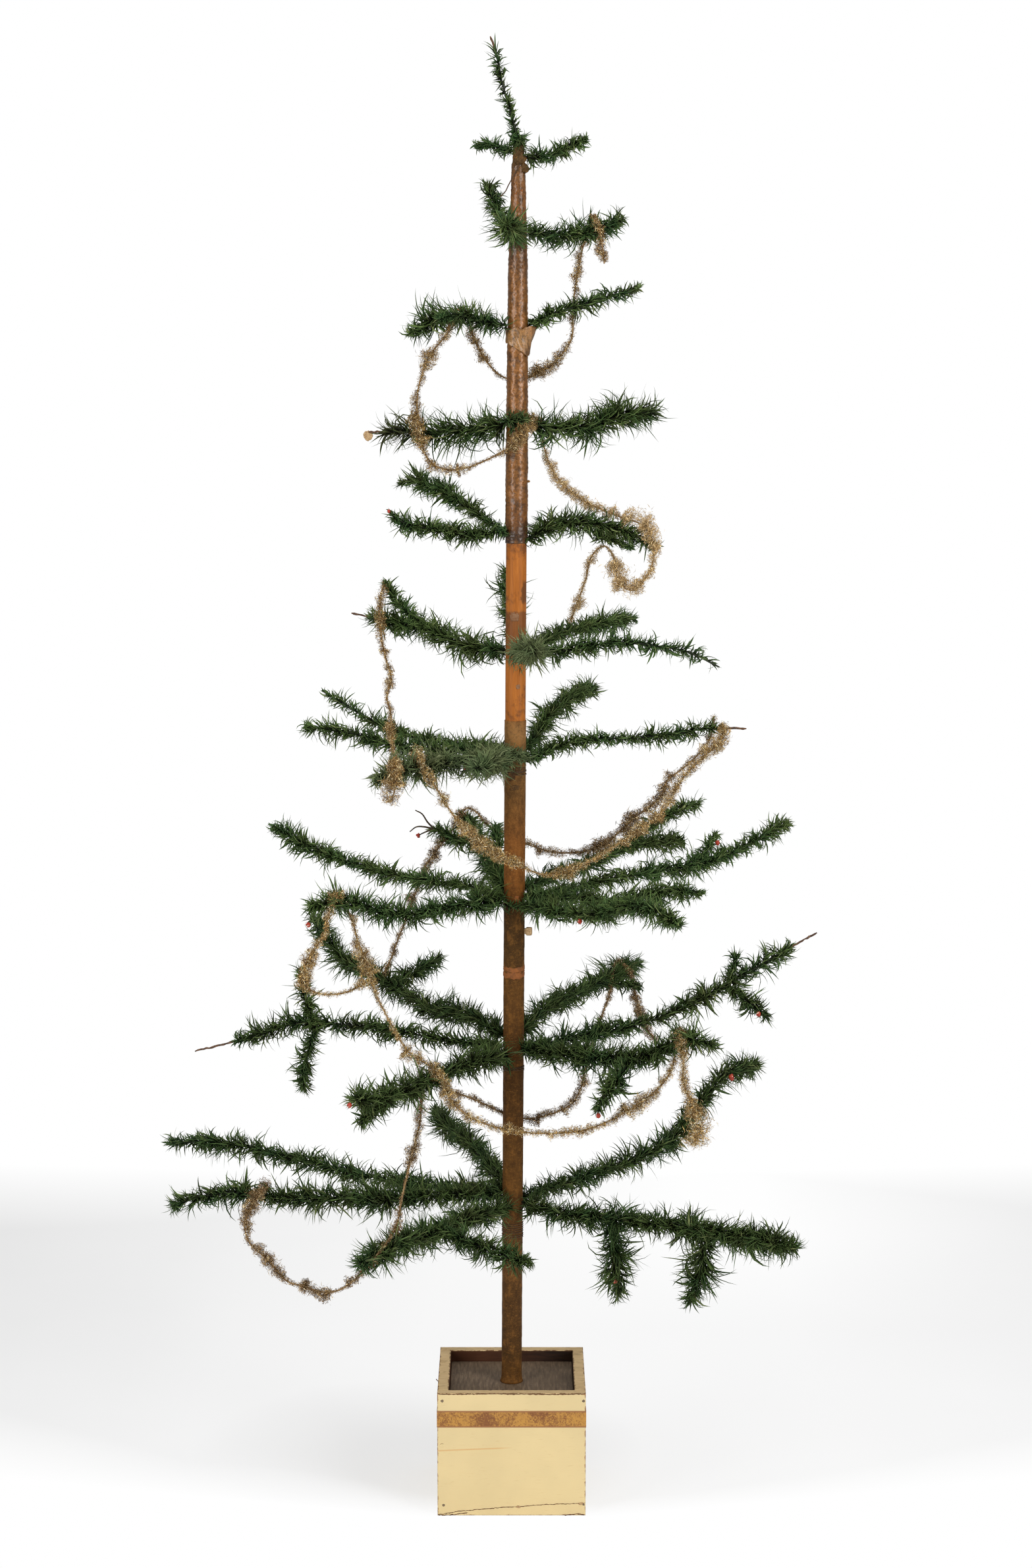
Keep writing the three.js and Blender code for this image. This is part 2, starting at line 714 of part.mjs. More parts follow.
// Routes of the tinsel's stretches, as points in millimetres from the top of the tree down
const tinselRoutes = {
  tinsel_upper: [
    [92, -24, 1274], [90, -23, 1292], [86, -15, 1313], [82, 0, 1320],
    [77, 13, 1309], [71, 21, 1288], [66, 25, 1262], [62, 27, 1234],
    [60, 27, 1198], [42, 24, 1176], [20, 19, 1162], [-6, 17, 1161],
    [-24, 16, 1176], [-38, 14, 1202], [-46, 7, 1227], [-51, -7, 1229],
    [-56, -20, 1226], [-64, -27, 1206], [-82, -27, 1182], [-92, -26, 1154],
    [-94, -24, 1130], [-92, -24, 1104], [-82, -26, 1080], [-66, -24, 1071],
    [-44, -22, 1073], [-14, -22, 1086], [11, -20, 1103], [23, -2, 1122],
    [31, 14, 1100], [38, 16, 1076], [54, 12, 1052], [79, 6, 1035],
    [108, -2, 1023], [134, -11, 1013], [143, -26, 989], [137, -28, 967],
    [122, -25, 950], [107, -18, 959], [105, 2, 978], [94, 16, 992],
    [82, 22, 982], [76, 38, 957], [61, 59, 911],
  ],
  tinsel_left: [
    [-129, 49, 955], [-134, 34, 939], [-134, 28, 917], [-132, 24, 893],
    [-127, 16, 873], [-122, 2, 858], [-126, -18, 842], [-121, -42, 827],
    [-120, -68, 813], [-117, -98, 800], [-115, -124, 791], [-111, -154, 784],
    [-113, -158, 768], [-117, -155, 755],
  ],
  tinsel_middle: [
    [-95, -91, 797], [-88, -114, 785], [-76, -112, 766], [-61, -107, 740],
    [-39, -102, 712], [-19, -98, 696], [5, -92, 683], [33, -85, 671],
    [58, -79, 673], [88, -72, 688], [115, -66, 704], [140, -60, 720],
    [157, -57, 738], [175, -53, 768], [199, -48, 790], [211, -41, 801],
    [213, -22, 815],
  ],
  tinsel_behind: [
    [205, -18, 822], [200, 4, 792], [178, 10, 767], [160, 14, 752],
    [153, 22, 733], [138, 32, 719], [122, 44, 704], [102, 58, 683],
    [78, 72, 669], [48, 88, 665], [20, 102, 670], [-4, 114, 679],
    [-28, 126, 690], [-37, 131, 701], [-47, 134, 705], [-56, 130, 698],
    [-64, 122, 682], [-80, 106, 663], [-92, 86, 648], [-99, 74, 629],
    [-108, 84, 603], [-119, 103, 573], [-128, 118, 547], [-137, 134, 524],
  ],
  tinsel_front: [
    [-143, -136, 572], [-163, -136, 562], [-188, -134, 560], [-203, -134, 568],
    [-205, -134, 584], [-196, -134, 603], [-184, -136, 620], [-180, -136, 639],
    [-171, -117, 658], [-158, -105, 627], [-151, -104, 602], [-142, -106, 582],
    [-138, -108, 562], [-122, -112, 529], [-103, -119, 499], [-82, -115, 483],
    [-69, -124, 474], [-62, -127, 453], [-44, -127, 436], [-24, -127, 426],
    [13, -127, 418], [58, -127, 418], [84, -127, 424], [109, -127, 436],
    [132, -126, 451], [149, -124, 465], [160, -122, 483], [163, -124, 505],
    [165, -132, 519], [167, -143, 523], [168, -154, 516], [169, -161, 500],
    [169, -161, 477], [177, -158, 457], [182, -154, 435], [182, -152, 411],
  ],
  tinsel_cross: [
    [-74, -91, 480], [-65, -66, 447], [-46, -42, 434], [-26, -14, 418],
    [-12, 10, 405], [4, 20, 397], [22, 22, 395], [44, 24, 400],
    [62, 26, 409], [72, 28, 425], [77, 34, 445], [83, 50, 464],
    [91, 76, 480], [99, 108, 494], [106, 140, 506], [115, 180, 530],
    [128, 177, 517], [133, 156, 502], [136, 134, 488], [144, 108, 471],
    [154, 96, 460],
  ],
  tinsel_lower: [
    [-89, -112, 479], [-90, -114, 449], [-91, -119, 428], [-96, -133, 409],
    [-102, -152, 386], [-108, -172, 362], [-112, -190, 342], [-116, -206, 336],
    [-127, -234, 328], [-138, -243, 315], [-150, -240, 302], [-165, -230, 288],
    [-183, -216, 281], [-204, -200, 282], [-221, -189, 284], [-233, -180, 294],
    [-246, -172, 305], [-259, -164, 315], [-265, -150, 330], [-260, -130, 342],
    [-251, -112, 352], [-248, -91, 355],
  ],
};

function tinselTube(route, radius) {
  const points = route.map((point) => new THREE.Vector3(...point));
  const curve = new THREE.CatmullRomCurve3(points, false, 'centripetal');
  const section = new THREE.Shape();
  for (let side = 0; side < tinselSides; side += 1) {
    const angle = 2 * Math.PI * side / tinselSides;
    const move = side === 0 ? 'moveTo' : 'lineTo';
    section[move](radius * Math.cos(angle), radius * Math.sin(angle));
  }
  section.closePath();
  const steps = Math.round(curve.getLength() / tinselStep);
  return new THREE.ExtrudeGeometry(section, { steps, extrudePath: curve, bevelEnabled: false });
}

// The space that a stretch needs among the barbs it lies on, round at both ends
function tinselSpace(route) {
  const radius = tinselDiameter / 2 + tinselPress;
  const ends = [route[0], route[route.length - 1]].map((end) => {
    const ballRadius = radius / Math.cos(Math.PI / tinselSides);
    const ball = new THREE.SphereGeometry(ballRadius, tinselSides, tinselSides);
    ball.translate(...end);
    return toSolid(ball);
  });
  return toSolid(tinselTube(route, radius)).add(ends[0]).add(ends[1]);
}

const tinselSpaces = Object.values(tinselRoutes).map(tinselSpace);

function makeTinsel() {
  for (const [name, route] of Object.entries(tinselRoutes)) {
    addPiece(name, tinselTube(route, tinselDiameter / 2), materials.tinsel);
  }
}

// The trunk near a branch's root, grown by the gap that the root keeps to it
function rootSeat(rootHeight) {
  const low = rootHeight - bindingHeight;
  const high = rootHeight + bindingHeight;
  const build = (isWrapped(rootHeight) ? wrapBuild : 0) + seatGap;
  const stations = [low, high].map((height) => ({ height, radius: trunkRadius(height) + build }));
  return toSolid(roundBody(stations));
}

// The branch with room pressed into its barbs for the tinsel, without any barb point that this parts from it
function pressTinsel(branch) {
  const near = tinselSpaces.filter((space) => branch.intersect(space).volume() > 0);
  if (near.length === 0) return branch;
  const pressed = near.reduce((solid, space) => solid.subtract(space), branch);
  return pressed.decompose().reduce((most, body) => (body.volume() > most.volume() ? body : most));
}

function branchGeometry(row, tier, seed) {
  const spine = branchSpine(row, tier);
  const reach = row.reachShare * tier.reach;
  const crowd = Math.min(crowdLength, reach / 2);
  const stem = featherGeometry(spine, heading(row.turn), { bareShare: row.bareShare, crowd, seed });
  const rootHeight = tier.height + row.liftShare * bindingHeight;
  let solid = toSolid(stem);
  (row.twigs ?? []).forEach((twig, index) => {
    const curve = twigSpine(twig, spine, row.turn, reach);
    const outward = heading(row.turn + twig.turn);
    solid = solid.add(toSolid(featherGeometry(curve, outward, { seed: seed + index + 1 })));
  });
  return toGeometry(pressTinsel(solid.subtract(rootSeat(rootHeight))));
}

function makeBranches() {
  tiers.forEach((tier, tierIndex) => {
    tier.branches.forEach((row, rowIndex) => {
      addPiece(row.name, branchGeometry(row, tier, 5 * tierIndex + rowIndex), materials.feather);
    });
  });
}

// The leader: a feathered wire that stands on the trunk's top and leans to the left
function makeLeader() {
  const leanShares = [0, 0, 0.045, 0.09, 0.15, 0.2, 0.26];
  const riseShares = [0, 0.06, 0.22, 0.38, 0.58, 0.82, 1];
  const foot = trunkTop + seatGap;
  const points = leanShares.map((share, step) => {
    const x = trunkShift(trunkTop) - share * leaderHeight;
    return new THREE.Vector3(x, 0, foot + riseShares[step] * leaderHeight);
  });
  const curve = new THREE.CatmullRomCurve3(points, false, 'centripetal');
  const options = { bareShare: 0.14, crowd: leaderHeight / 2 };
  addPiece('leader', featherGeometry(curve, heading(180), options), materials.feather);
}

makeWalls();
makeFloors();
makeBand();
makeTrunk();
makeBranches();
makeLeader();
makeTinsel();

export default tree;
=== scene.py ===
import json
import math

import bpy
import numpy as np
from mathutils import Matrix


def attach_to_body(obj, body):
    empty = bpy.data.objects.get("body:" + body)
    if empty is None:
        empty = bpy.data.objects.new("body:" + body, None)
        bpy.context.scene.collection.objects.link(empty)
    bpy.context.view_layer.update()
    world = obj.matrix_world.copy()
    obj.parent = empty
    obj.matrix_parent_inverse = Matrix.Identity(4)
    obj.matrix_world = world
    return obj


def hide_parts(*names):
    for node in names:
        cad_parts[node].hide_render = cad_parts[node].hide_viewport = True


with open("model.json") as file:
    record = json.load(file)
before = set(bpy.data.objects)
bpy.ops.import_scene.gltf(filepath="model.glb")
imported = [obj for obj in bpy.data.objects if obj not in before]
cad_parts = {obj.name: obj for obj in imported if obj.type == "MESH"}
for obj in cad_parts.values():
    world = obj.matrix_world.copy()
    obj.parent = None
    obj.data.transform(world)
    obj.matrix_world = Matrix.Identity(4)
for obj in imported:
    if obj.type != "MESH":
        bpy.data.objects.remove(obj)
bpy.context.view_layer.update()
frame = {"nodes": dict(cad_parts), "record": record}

MM = 0.001
UP = np.array([0.0, 0.0, 1.0])

# Photograph
PHOTO_HEIGHT_PIXELS = 2380
FOCAL_PIXELS = 4932
SENSOR = 36
CAMERA_TILT = 8.2
CAMERA_PLACE = (0.0046, -3.2807, 1.223)

# Trunk, as the solids have it; its papers end a little above their solids, as in the photo
TRUNK_FOOT = 6 * MM
TRUNK_TOP = 1388 * MM
PLATFORM_TOP = 118.5 * MM
TRUNK_LEAN = 7.2 * MM
TRUNK_HEIGHT_SHARES = (0, 0.45, 0.6, 0.78, 0.915, 0.955, 1)
TRUNK_RADII = (9.7 * MM, 10.05 * MM, 10.4 * MM, 10.4 * MM, 8.9 * MM, 7.15 * MM, 5.4 * MM)
WRAP_BUILD = 0.9 * MM
SEAT_GAP = 0.3 * MM
UPPER_WRAP = (996 * MM, 1372 * MM)
LOWER_WRAP = (118.9 * MM, 816 * MM)
BINDING = 30 * MM
PAPER_LIFT = 0.55 * MM
PAPER_THICK = 0.5 * MM

# Box, as the solids have it
BOX_HALF = 76.2 * MM
BOX_RIM = 130.5 * MM
BOARD = 11.5 * MM
FRONT = -BOX_HALF
BAND_EDGES = (94.5 * MM, 112 * MM)


def add_object(name, data):
    thing = bpy.data.objects.new(name, data)
    bpy.context.scene.collection.objects.link(thing)
    return thing


def attach(piece, body):
    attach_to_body(piece, body)


def recolour(node, material):
    """Gives a CAD object its finish; its mesh stays as it is."""
    data = frame["nodes"][node].data
    data.materials.clear()
    data.materials.append(material)


def camera():
    data = bpy.data.cameras.new("camera")
    data.sensor_width = SENSOR
    data.lens = FOCAL_PIXELS / PHOTO_HEIGHT_PIXELS * SENSOR
    data.clip_end = 50
    eye = add_object("camera", data)
    eye.location = CAMERA_PLACE
    eye.rotation_euler = (math.radians(90 - CAMERA_TILT), 0, 0)
    bpy.context.scene.camera = eye


# Curves and meshes


class Path:
    """A smooth curve through points, measured along its length."""

    def __init__(self, points, fine=14):
        self.points = smooth(np.array(points, float), fine)
        steps = np.linalg.norm(np.diff(self.points, axis=0), axis=1)
        self.along = np.concatenate([[0], np.cumsum(steps)])
        self.length = self.along[-1]

    def at(self, s):
        s = np.atleast_1d(s)
        return np.stack([np.interp(s, self.along, self.points[:, i]) for i in range(3)], axis=1)

    def tangent(self, s):
        s = np.atleast_1d(s)
        near = min(1.5 * MM, self.length / 8)
        ahead = self.at(np.minimum(s + near, self.length)) - self.at(np.maximum(s - near, 0))
        return unit(ahead)


def smooth(points, fine):
    """Centripetal Catmull-Rom points, the curve that the solids follow."""
    ends = np.vstack([2 * points[0] - points[1], points, 2 * points[-1] - points[-2]])
    rows = [points[0]]
    for p0, p1, p2, p3 in zip(ends, ends[1:], ends[2:], ends[3:]):
        d0, d1, d2 = (np.sqrt(max(np.linalg.norm(b - a), 1e-9)) for a, b in ((p0, p1), (p1, p2), (p2, p3)))
        m1 = ((p1 - p0) / d0 - (p2 - p0) / (d0 + d1) + (p2 - p1) / d1) * d1
        m2 = ((p2 - p1) / d1 - (p3 - p1) / (d1 + d2) + (p3 - p2) / d2) * d1
        for k in range(1, fine + 1):
            t = k / fine
            rows.append(
                (2 * t**3 - 3 * t**2 + 1) * p1 + (t**3 - 2 * t**2 + t) * m1
                + (3 * t**2 - 2 * t**3) * p2 + (t**3 - t**2) * m2
            )
    return np.array(rows)


def unit(v):
    return v / np.maximum(np.linalg.norm(v, axis=-1, keepdims=True), 1e-12)


def square_to(tangent):
    """Two directions square to each tangent: one level, one above it."""
    level = np.cross(tangent, UP)
    steep = np.linalg.norm(level, axis=1) < 0.05
    level[steep] = (0, 1, 0)
    level = unit(level)
    return level, unit(np.cross(level, tangent))


def outward_at(tangent, turn):
    """Directions square to each tangent, turned round it."""
    level, upper = square_to(tangent)
    return np.cos(turn)[:, None] * level + np.sin(turn)[:, None] * upper


def circle(count):
    return np.linspace(0, 2 * math.pi, count, endpoint=False)


def add_mesh(name, points, faces, material, rounded=True, along=None, cells=None):
    """A mesh object from an array of points and an array of triangles or quads."""
    mesh = bpy.data.meshes.new(name)
    faces = np.asarray(faces, np.int32)
    count, corners = faces.shape
    mesh.vertices.add(len(points))
    mesh.vertices.foreach_set("co", np.asarray(points, np.float32).ravel())
    mesh.loops.add(count * corners)
    mesh.loops.foreach_set("vertex_index", faces.ravel())
    mesh.polygons.add(count)
    mesh.polygons.foreach_set("loop_start", np.arange(0, count * corners, corners, dtype=np.int32))
    mesh.polygons.foreach_set("use_smooth", np.full(count, rounded))
    mesh.update(calc_edges=True)
    if along is not None:
        mesh.attributes.new("along", "FLOAT", "POINT").data.foreach_set("value", along.astype(np.float32))
    if cells is not None:
        mesh.uv_layers.new(name="OFBake").data.foreach_set("uv", cells.astype(np.float32).ravel())
    mesh.materials.append(material)
    return add_object(name, mesh)


# One barb: rings of three points and a tip, closed. One crimp of foil: two tips and a ring.
LONG_BARB = ((0, 0.26, 0.52, 0.78), (0.75, 1, 0.9, 0.55))
SHORT_BARB = ((0, 0.5), (0.85, 0.9))


def solid_of(rings, capped):
    """Faces of a strand of rings of three points, and each corner's place in a cell of its own."""
    faces, places = [], []
    start = 0 if capped else 1
    levels = np.linspace(0.1, 0.9, rings)
    if capped:
        faces.append((0, 2, 1))
        places.append(((0.02, 0.08), (0.3, 0.08), (0.16, 0.01)))
    for k in range(3):
        n = (k + 1) % 3
        left, right, middle = (k + 0.06) / 3, (k + 0.94) / 3, (k + 0.5) / 3
        if not capped:
            faces.append((0, start + n, start + k))
            places.append(((middle, 0.02), (right, levels[0]), (left, levels[0])))
        for row in range(rings - 1):
            low, high = start + 3 * row, start + 3 * row + 3
            faces += [(low + k, low + n, high + n), (low + k, high + n, high + k)]
            places += [
                ((left, levels[row]), (right, levels[row]), (right, levels[row + 1])),
                ((left, levels[row]), (right, levels[row + 1]), (left, levels[row + 1])),
            ]
        top = start + 3 * (rings - 1)
        faces.append((top + k, top + n, start + 3 * rings))
        places.append(((left, levels[-1]), (right, levels[-1]), (middle, 0.98)))
    return np.array(faces), np.array(places)


def repeat_solid(count, points_each, faces, places):
    """The faces of many strands, with a grid of cells for their corners."""
    offsets = np.arange(count)[:, None, None] * points_each
    columns = max(1, math.ceil(math.sqrt(count)))
    row, column = np.divmod(np.arange(count), columns)
    origin = np.stack([column, row], axis=1)[:, None, None, :]
    cells = (origin + 0.04 + 0.92 * places[None]) / columns
    return (faces[None] + offsets).reshape(-1, 3), cells.reshape(-1, 3, 2)


def barb_solids(kind, base, forward, outward, length, width, lean, curl, sway, roll):
    """Thin tapered barbs that leave their base at an angle to forward and bend as they go."""
    stations, tapers = kind
    stops = (*stations, 1)
    side = np.cross(forward, outward)
    place = base.copy()
    blocks = []

    def ahead(u):
        angle = (lean + curl * u)[:, None]
        return unit(np.cos(angle) * forward + np.sin(angle) * outward + (sway * u)[:, None] * side)

    for k, (u, taper) in enumerate(zip(stations, tapers)):
        here = ahead(u)
        cross = unit(np.cross(here, side))
        turn = roll[:, None]
        wide = np.cos(turn) * side + np.sin(turn) * cross
        flat = np.cross(here, wide)
        half = (width * taper / 2)[:, None]
        blocks += [place + wide * half, place - wide * half, place + flat * half * 0.6]
        step = stops[k + 1] - u
        place = place + ahead(u + step / 2) * (length * step)[:, None]
    blocks.append(place)
    points = np.stack(blocks, axis=1).reshape(-1, 3)
    rings = len(stations)
    faces, cells = repeat_solid(len(base), 3 * rings + 1, *solid_of(rings, True))
    along = np.tile(np.repeat(stops, (3,) * rings + (1,)), len(base))
    return points, faces, along, cells


def crimp_solids(middle, axis, bend, length, width):
    """Short kinked slivers: two tips and a ring of three between them."""
    side = unit(np.cross(axis, bend))
    half, wide = (length / 2)[:, None], (width / 2)[:, None]
    kink = bend * (length * 0.22)[:, None]
    blocks = [
        middle - axis * half, middle + kink + side * wide, middle + kink - side * wide,
        middle + kink + bend * wide * 0.5, middle + axis * half,
    ]
    points = np.stack(blocks, axis=1).reshape(-1, 3)
    faces, cells = repeat_solid(len(middle), 5, *solid_of(1, False))
    return points, faces, cells


def ring_quads(rows, around, first=0, closed=True):
    """Quads of a skin over rings of points, each ring after the one before."""
    across = around if closed else around - 1
    k, j = np.divmod(np.arange((rows - 1) * across), across)
    a, b = first + k * around + j, first + k * around + (j + 1) % around
    return np.stack([a, a + around, b + around, b], axis=1)


def flipped(quads):
    return quads[:, [0, 3, 2, 1]]


def halves(quads):
    """Each quad as two triangles."""
    return np.vstack([quads[:, [0, 1, 2]], quads[:, [0, 2, 3]]])


def fan(middle, first, around):
    """Triangles from a middle point to a closed ring of points."""
    j = np.arange(around)
    return np.stack([np.full(around, middle), first + j, first + (j + 1) % around], axis=1)


def sheet_quads(rows, around, closed=True):
    """Quads of a thin sheet: a grid of outer points, then one of inner points, joined at their edges."""
    outer = rows * around
    grid = np.arange(outer).reshape(rows, around)

    def edge(line, joined):
        ahead = np.roll(line, -1)
        quads = np.stack([line, line + outer, ahead + outer, ahead], axis=1)
        return quads if joined else quads[:-1]

    skin = ring_quads(rows, around, closed=closed)
    parts = [flipped(skin), skin + outer, edge(grid[0], closed), flipped(edge(grid[-1], closed))]
    if not closed:
        parts += [flipped(edge(grid[:, 0], False)), edge(grid[:, -1], False)]
    return np.vstack(parts)


def tube(points, radii, sides=6):
    """A round closed tube through points."""
    points = np.asarray(points, float)
    tangent = unit(np.gradient(points, axis=0))
    level = np.empty_like(points)
    last = square_to(tangent[:1])[0][0]
    for k, t in enumerate(tangent):
        last = unit(last - t * np.dot(last, t))
        level[k] = last
    upper = np.cross(level, tangent)
    turns = circle(sides)[None, :, None]
    radii = np.broadcast_to(radii, len(points))[:, None, None]
    rings = points[:, None] + radii * (level[:, None] * np.cos(turns) + upper[:, None] * np.sin(turns))
    body = rings.reshape(-1, 3)
    skin = halves(ring_quads(len(points), sides))
    ends = [fan(len(body), 0, sides), fan(len(body) + 1, len(body) - sides, sides)[:, ::-1]]
    return np.vstack([body, points[:1], points[-1:]]), np.vstack([skin, *ends])


def join(parts):
    """Several (points, faces) pairs as one."""
    points, faces, start = [], [], 0
    for p, f in parts:
        points.append(p)
        faces.append(np.asarray(f) + start)
        start += len(p)
    return np.vstack(points), np.vstack(faces)


def scatter(count, spread, rng):
    return rng.normal(0, spread, count)


# Materials


class Value:
    """A node's output that takes part in sums."""

    def __init__(self, nodes, socket):
        self.nodes, self.socket = nodes, socket

    def __add__(self, other):
        return self.nodes.math("ADD", self, other)

    def __sub__(self, other):
        return self.nodes.math("SUBTRACT", self, other)

    def __rsub__(self, other):
        return self.nodes.math("SUBTRACT", other, self)

    def __mul__(self, other):
        return self.nodes.math("MULTIPLY", self, other)

    def __truediv__(self, other):
        return self.nodes.math("DIVIDE", self, other)

    def __pow__(self, other):
        return self.nodes.math("POWER", self, other)

    def __abs__(self):
        return self.nodes.math("ABSOLUTE", self)


class Nodes:
    """A short way to write a material's node tree."""

    def __init__(self, name):
        self.material = bpy.data.materials.new(name)
        self.material.use_nodes = True
        self.tree = self.material.node_tree
        self.shader = self.tree.nodes["Principled BSDF"]
        self.place = self.read("ShaderNodeTexCoord", "Object")

    def give(self, node, key, value):
        if isinstance(value, Value):
            self.tree.links.new(value.socket, node.inputs[key])
        else:
            node.inputs[key].default_value = value

    def add(self, kind, **inputs):
        node = self.tree.nodes.new(kind)
        for key, value in inputs.items():
            self.give(node, key.replace("_", " "), value)
        return node

    def read(self, kind, output, **inputs):
        return Value(self, self.add(kind, **inputs).outputs[output])

    def math(self, operation, a, b=0.0):
        node = self.tree.nodes.new("ShaderNodeMath")
        node.operation = operation
        self.give(node, 0, a)
        self.give(node, 1, b)
        return Value(self, node.outputs[0])

    def least(self, a, b):
        return self.math("MINIMUM", a, b)

    def most(self, a, b):
        return self.math("MAXIMUM", a, b)

    def attribute(self, name):
        node = self.add("ShaderNodeAttribute")
        node.attribute_name = name
        return Value(self, node.outputs["Fac"])

    def axes(self):
        return [Value(self, axis) for axis in self.add("ShaderNodeSeparateXYZ", Vector=self.place).outputs]

    def noise(self, scale, detail, roughness=0.55, stretch=None):
        place = self.read("ShaderNodeMapping", 0, Vector=self.place, Scale=stretch) if stretch else self.place
        return self.read("ShaderNodeTexNoise", "Fac", Vector=place, Scale=scale, Detail=detail, Roughness=roughness)

    def ramp(self, fac, *stops):
        node = self.add("ShaderNodeValToRGB", Fac=fac)
        band = node.color_ramp.elements
        while len(band) < len(stops):
            band.new(0.5)
        for element, (at, colour) in zip(band, stops):
            element.position = at
            element.color = (*colour, 1)
        return Value(self, node.outputs["Color"])

    def fade(self, fac, low, high):
        """Zero at low and beyond it, one at high and beyond it."""
        return self.read("ShaderNodeMapRange", "Result", Value=fac, From_Min=low, From_Max=high)

    def mix(self, fac, a, b):
        node = self.tree.nodes.new("ShaderNodeMix")
        node.data_type = "RGBA"
        self.give(node, 0, fac)
        for socket, value in ((6, a), (7, b)):
            self.give(node, socket, (*value, 1) if isinstance(value, tuple) else value)
        return Value(self, node.outputs[2])

    def patches(self, colour, over, share, low, high, *noise):
        """Another colour laid over where a noise lies past low."""
        return self.mix(self.fade(self.noise(*noise), low, high) * share, colour, over)

    def bump(self, height, strength, distance):
        normal = self.read("ShaderNodeBump", 0, Height=height, Strength=strength, Distance=distance)
        self.give(self.shader, "Normal", normal)

    def finish(self, colour, roughness, **sockets):
        sockets.update(Base_Color=colour, Roughness=roughness)
        for key, value in sockets.items():
            self.give(self.shader, key.replace("_", " "), value)
        return self.material


def srgb(red, green, blue):
    """A colour as it is seen, 0 to 255, as the linear values that nodes take."""
    shares = [c / 255 for c in (red, green, blue)]
    return tuple(c / 12.92 if c <= 0.04045 else ((c + 0.055) / 1.055) ** 2.4 for c in shares)


def feather_material(name, deep, middle, light, pale):
    n = Nodes(name)
    island = n.read("ShaderNodeNewGeometry", "Random Per Island")
    along = n.attribute("along")
    colour = n.ramp(island, (0.0, deep), (0.24, middle), (0.6, middle), (0.72, light), (0.88, light), (1.0, pale))
    colour = n.patches(colour, deep, 0.45, 0.42, 0.66, 45, 3)
    colour = n.patches(colour, light, 0.5, 0.54, 0.68, 75, 2)
    colour = n.patches(colour, srgb(36, 82, 50), 0.45, 0.47, 0.58, 26, 3)
    colour = n.patches(colour, srgb(72, 66, 34), 0.35, 0.46, 0.36, 31, 3)
    # The lower tiers are darker, the middle ones lighter
    x, _, z = n.axes()
    colour = n.mix(n.fade(z, 0.62, 0.5) * 0.24, colour, deep)
    colour = n.mix(n.fade(z, 0.5, 0.64) * n.fade(z, 1.02, 0.9) * 0.14, colour, light)
    # The outer end of the fourth tier's left branch has withered
    withered = n.fade(x, -0.092, -0.112) * (n.fade(z, 1.07, 1.08) * n.fade(z, 1.17, 1.16))
    colour = n.mix(withered * 0.7, colour, srgb(58, 45, 34))
    # Each barb is lightest at its tip and darkest at its root: painted light on the outer barbs and painted shade in
    # the dense core round the wire
    colour = n.mix(n.fade(along, 0.3, 1.4) * 0.55, colour, light)
    colour = n.mix(n.fade(along, 0.45, -0.14), colour, srgb(13, 14, 4))
    streak = n.noise(900, 2, stretch=(1, 1, 0.3))
    n.bump(streak, 0.2, 0.0002)
    return n.finish(colour, n.fade(streak, -1.2, 1.6), Specular_IOR_Level=0.18)


def tinsel_material(name, dark, gold, light, right=0.0):
    n = Nodes(name)
    island = n.read("ShaderNodeNewGeometry", "Random Per Island")
    colour = n.ramp(island, (0.0, dark), (0.3, dark), (0.42, gold), (0.78, gold), (0.88, light), (1.0, light))
    colour = n.patches(colour, dark, 0.4, 0.42, 0.7, 60, 3)
    # Lighter at the right, below the fourth tier
    x, _, z = n.axes()
    colour = n.mix(n.fade(z, 1.13, 1.09) * n.fade(x, 0.0, 0.04) * right, colour, srgb(244, 214, 160))
    n.bump(n.noise(1400, 2), 0.4, 0.0002)
    return n.finish(colour, n.fade(n.noise(300, 2), -0.4, 2.6), Metallic=0.4)


def wire_material():
    n = Nodes("wrapped_wire")
    turns = n.noise(420, 3)
    bare = n.ramp(turns, (0.3, srgb(44, 33, 24)), (0.55, srgb(96, 66, 44)), (0.75, srgb(140, 104, 72)))
    hidden = n.ramp(turns, (0.3, srgb(20, 24, 12)), (0.7, srgb(40, 48, 24)))
    n.bump(turns, 0.6, 0.0005)
    return n.finish(n.mix(n.attribute("along"), hidden, bare), 0.75)


def core_material():
    n = Nodes("tinsel_thread")
    twist = n.noise(700, 2)
    n.bump(twist, 0.5, 0.0003)
    return n.finish(n.ramp(twist, (0.3, srgb(112, 84, 52)), (0.7, srgb(176, 142, 94))), 0.5, Metallic=0.4)


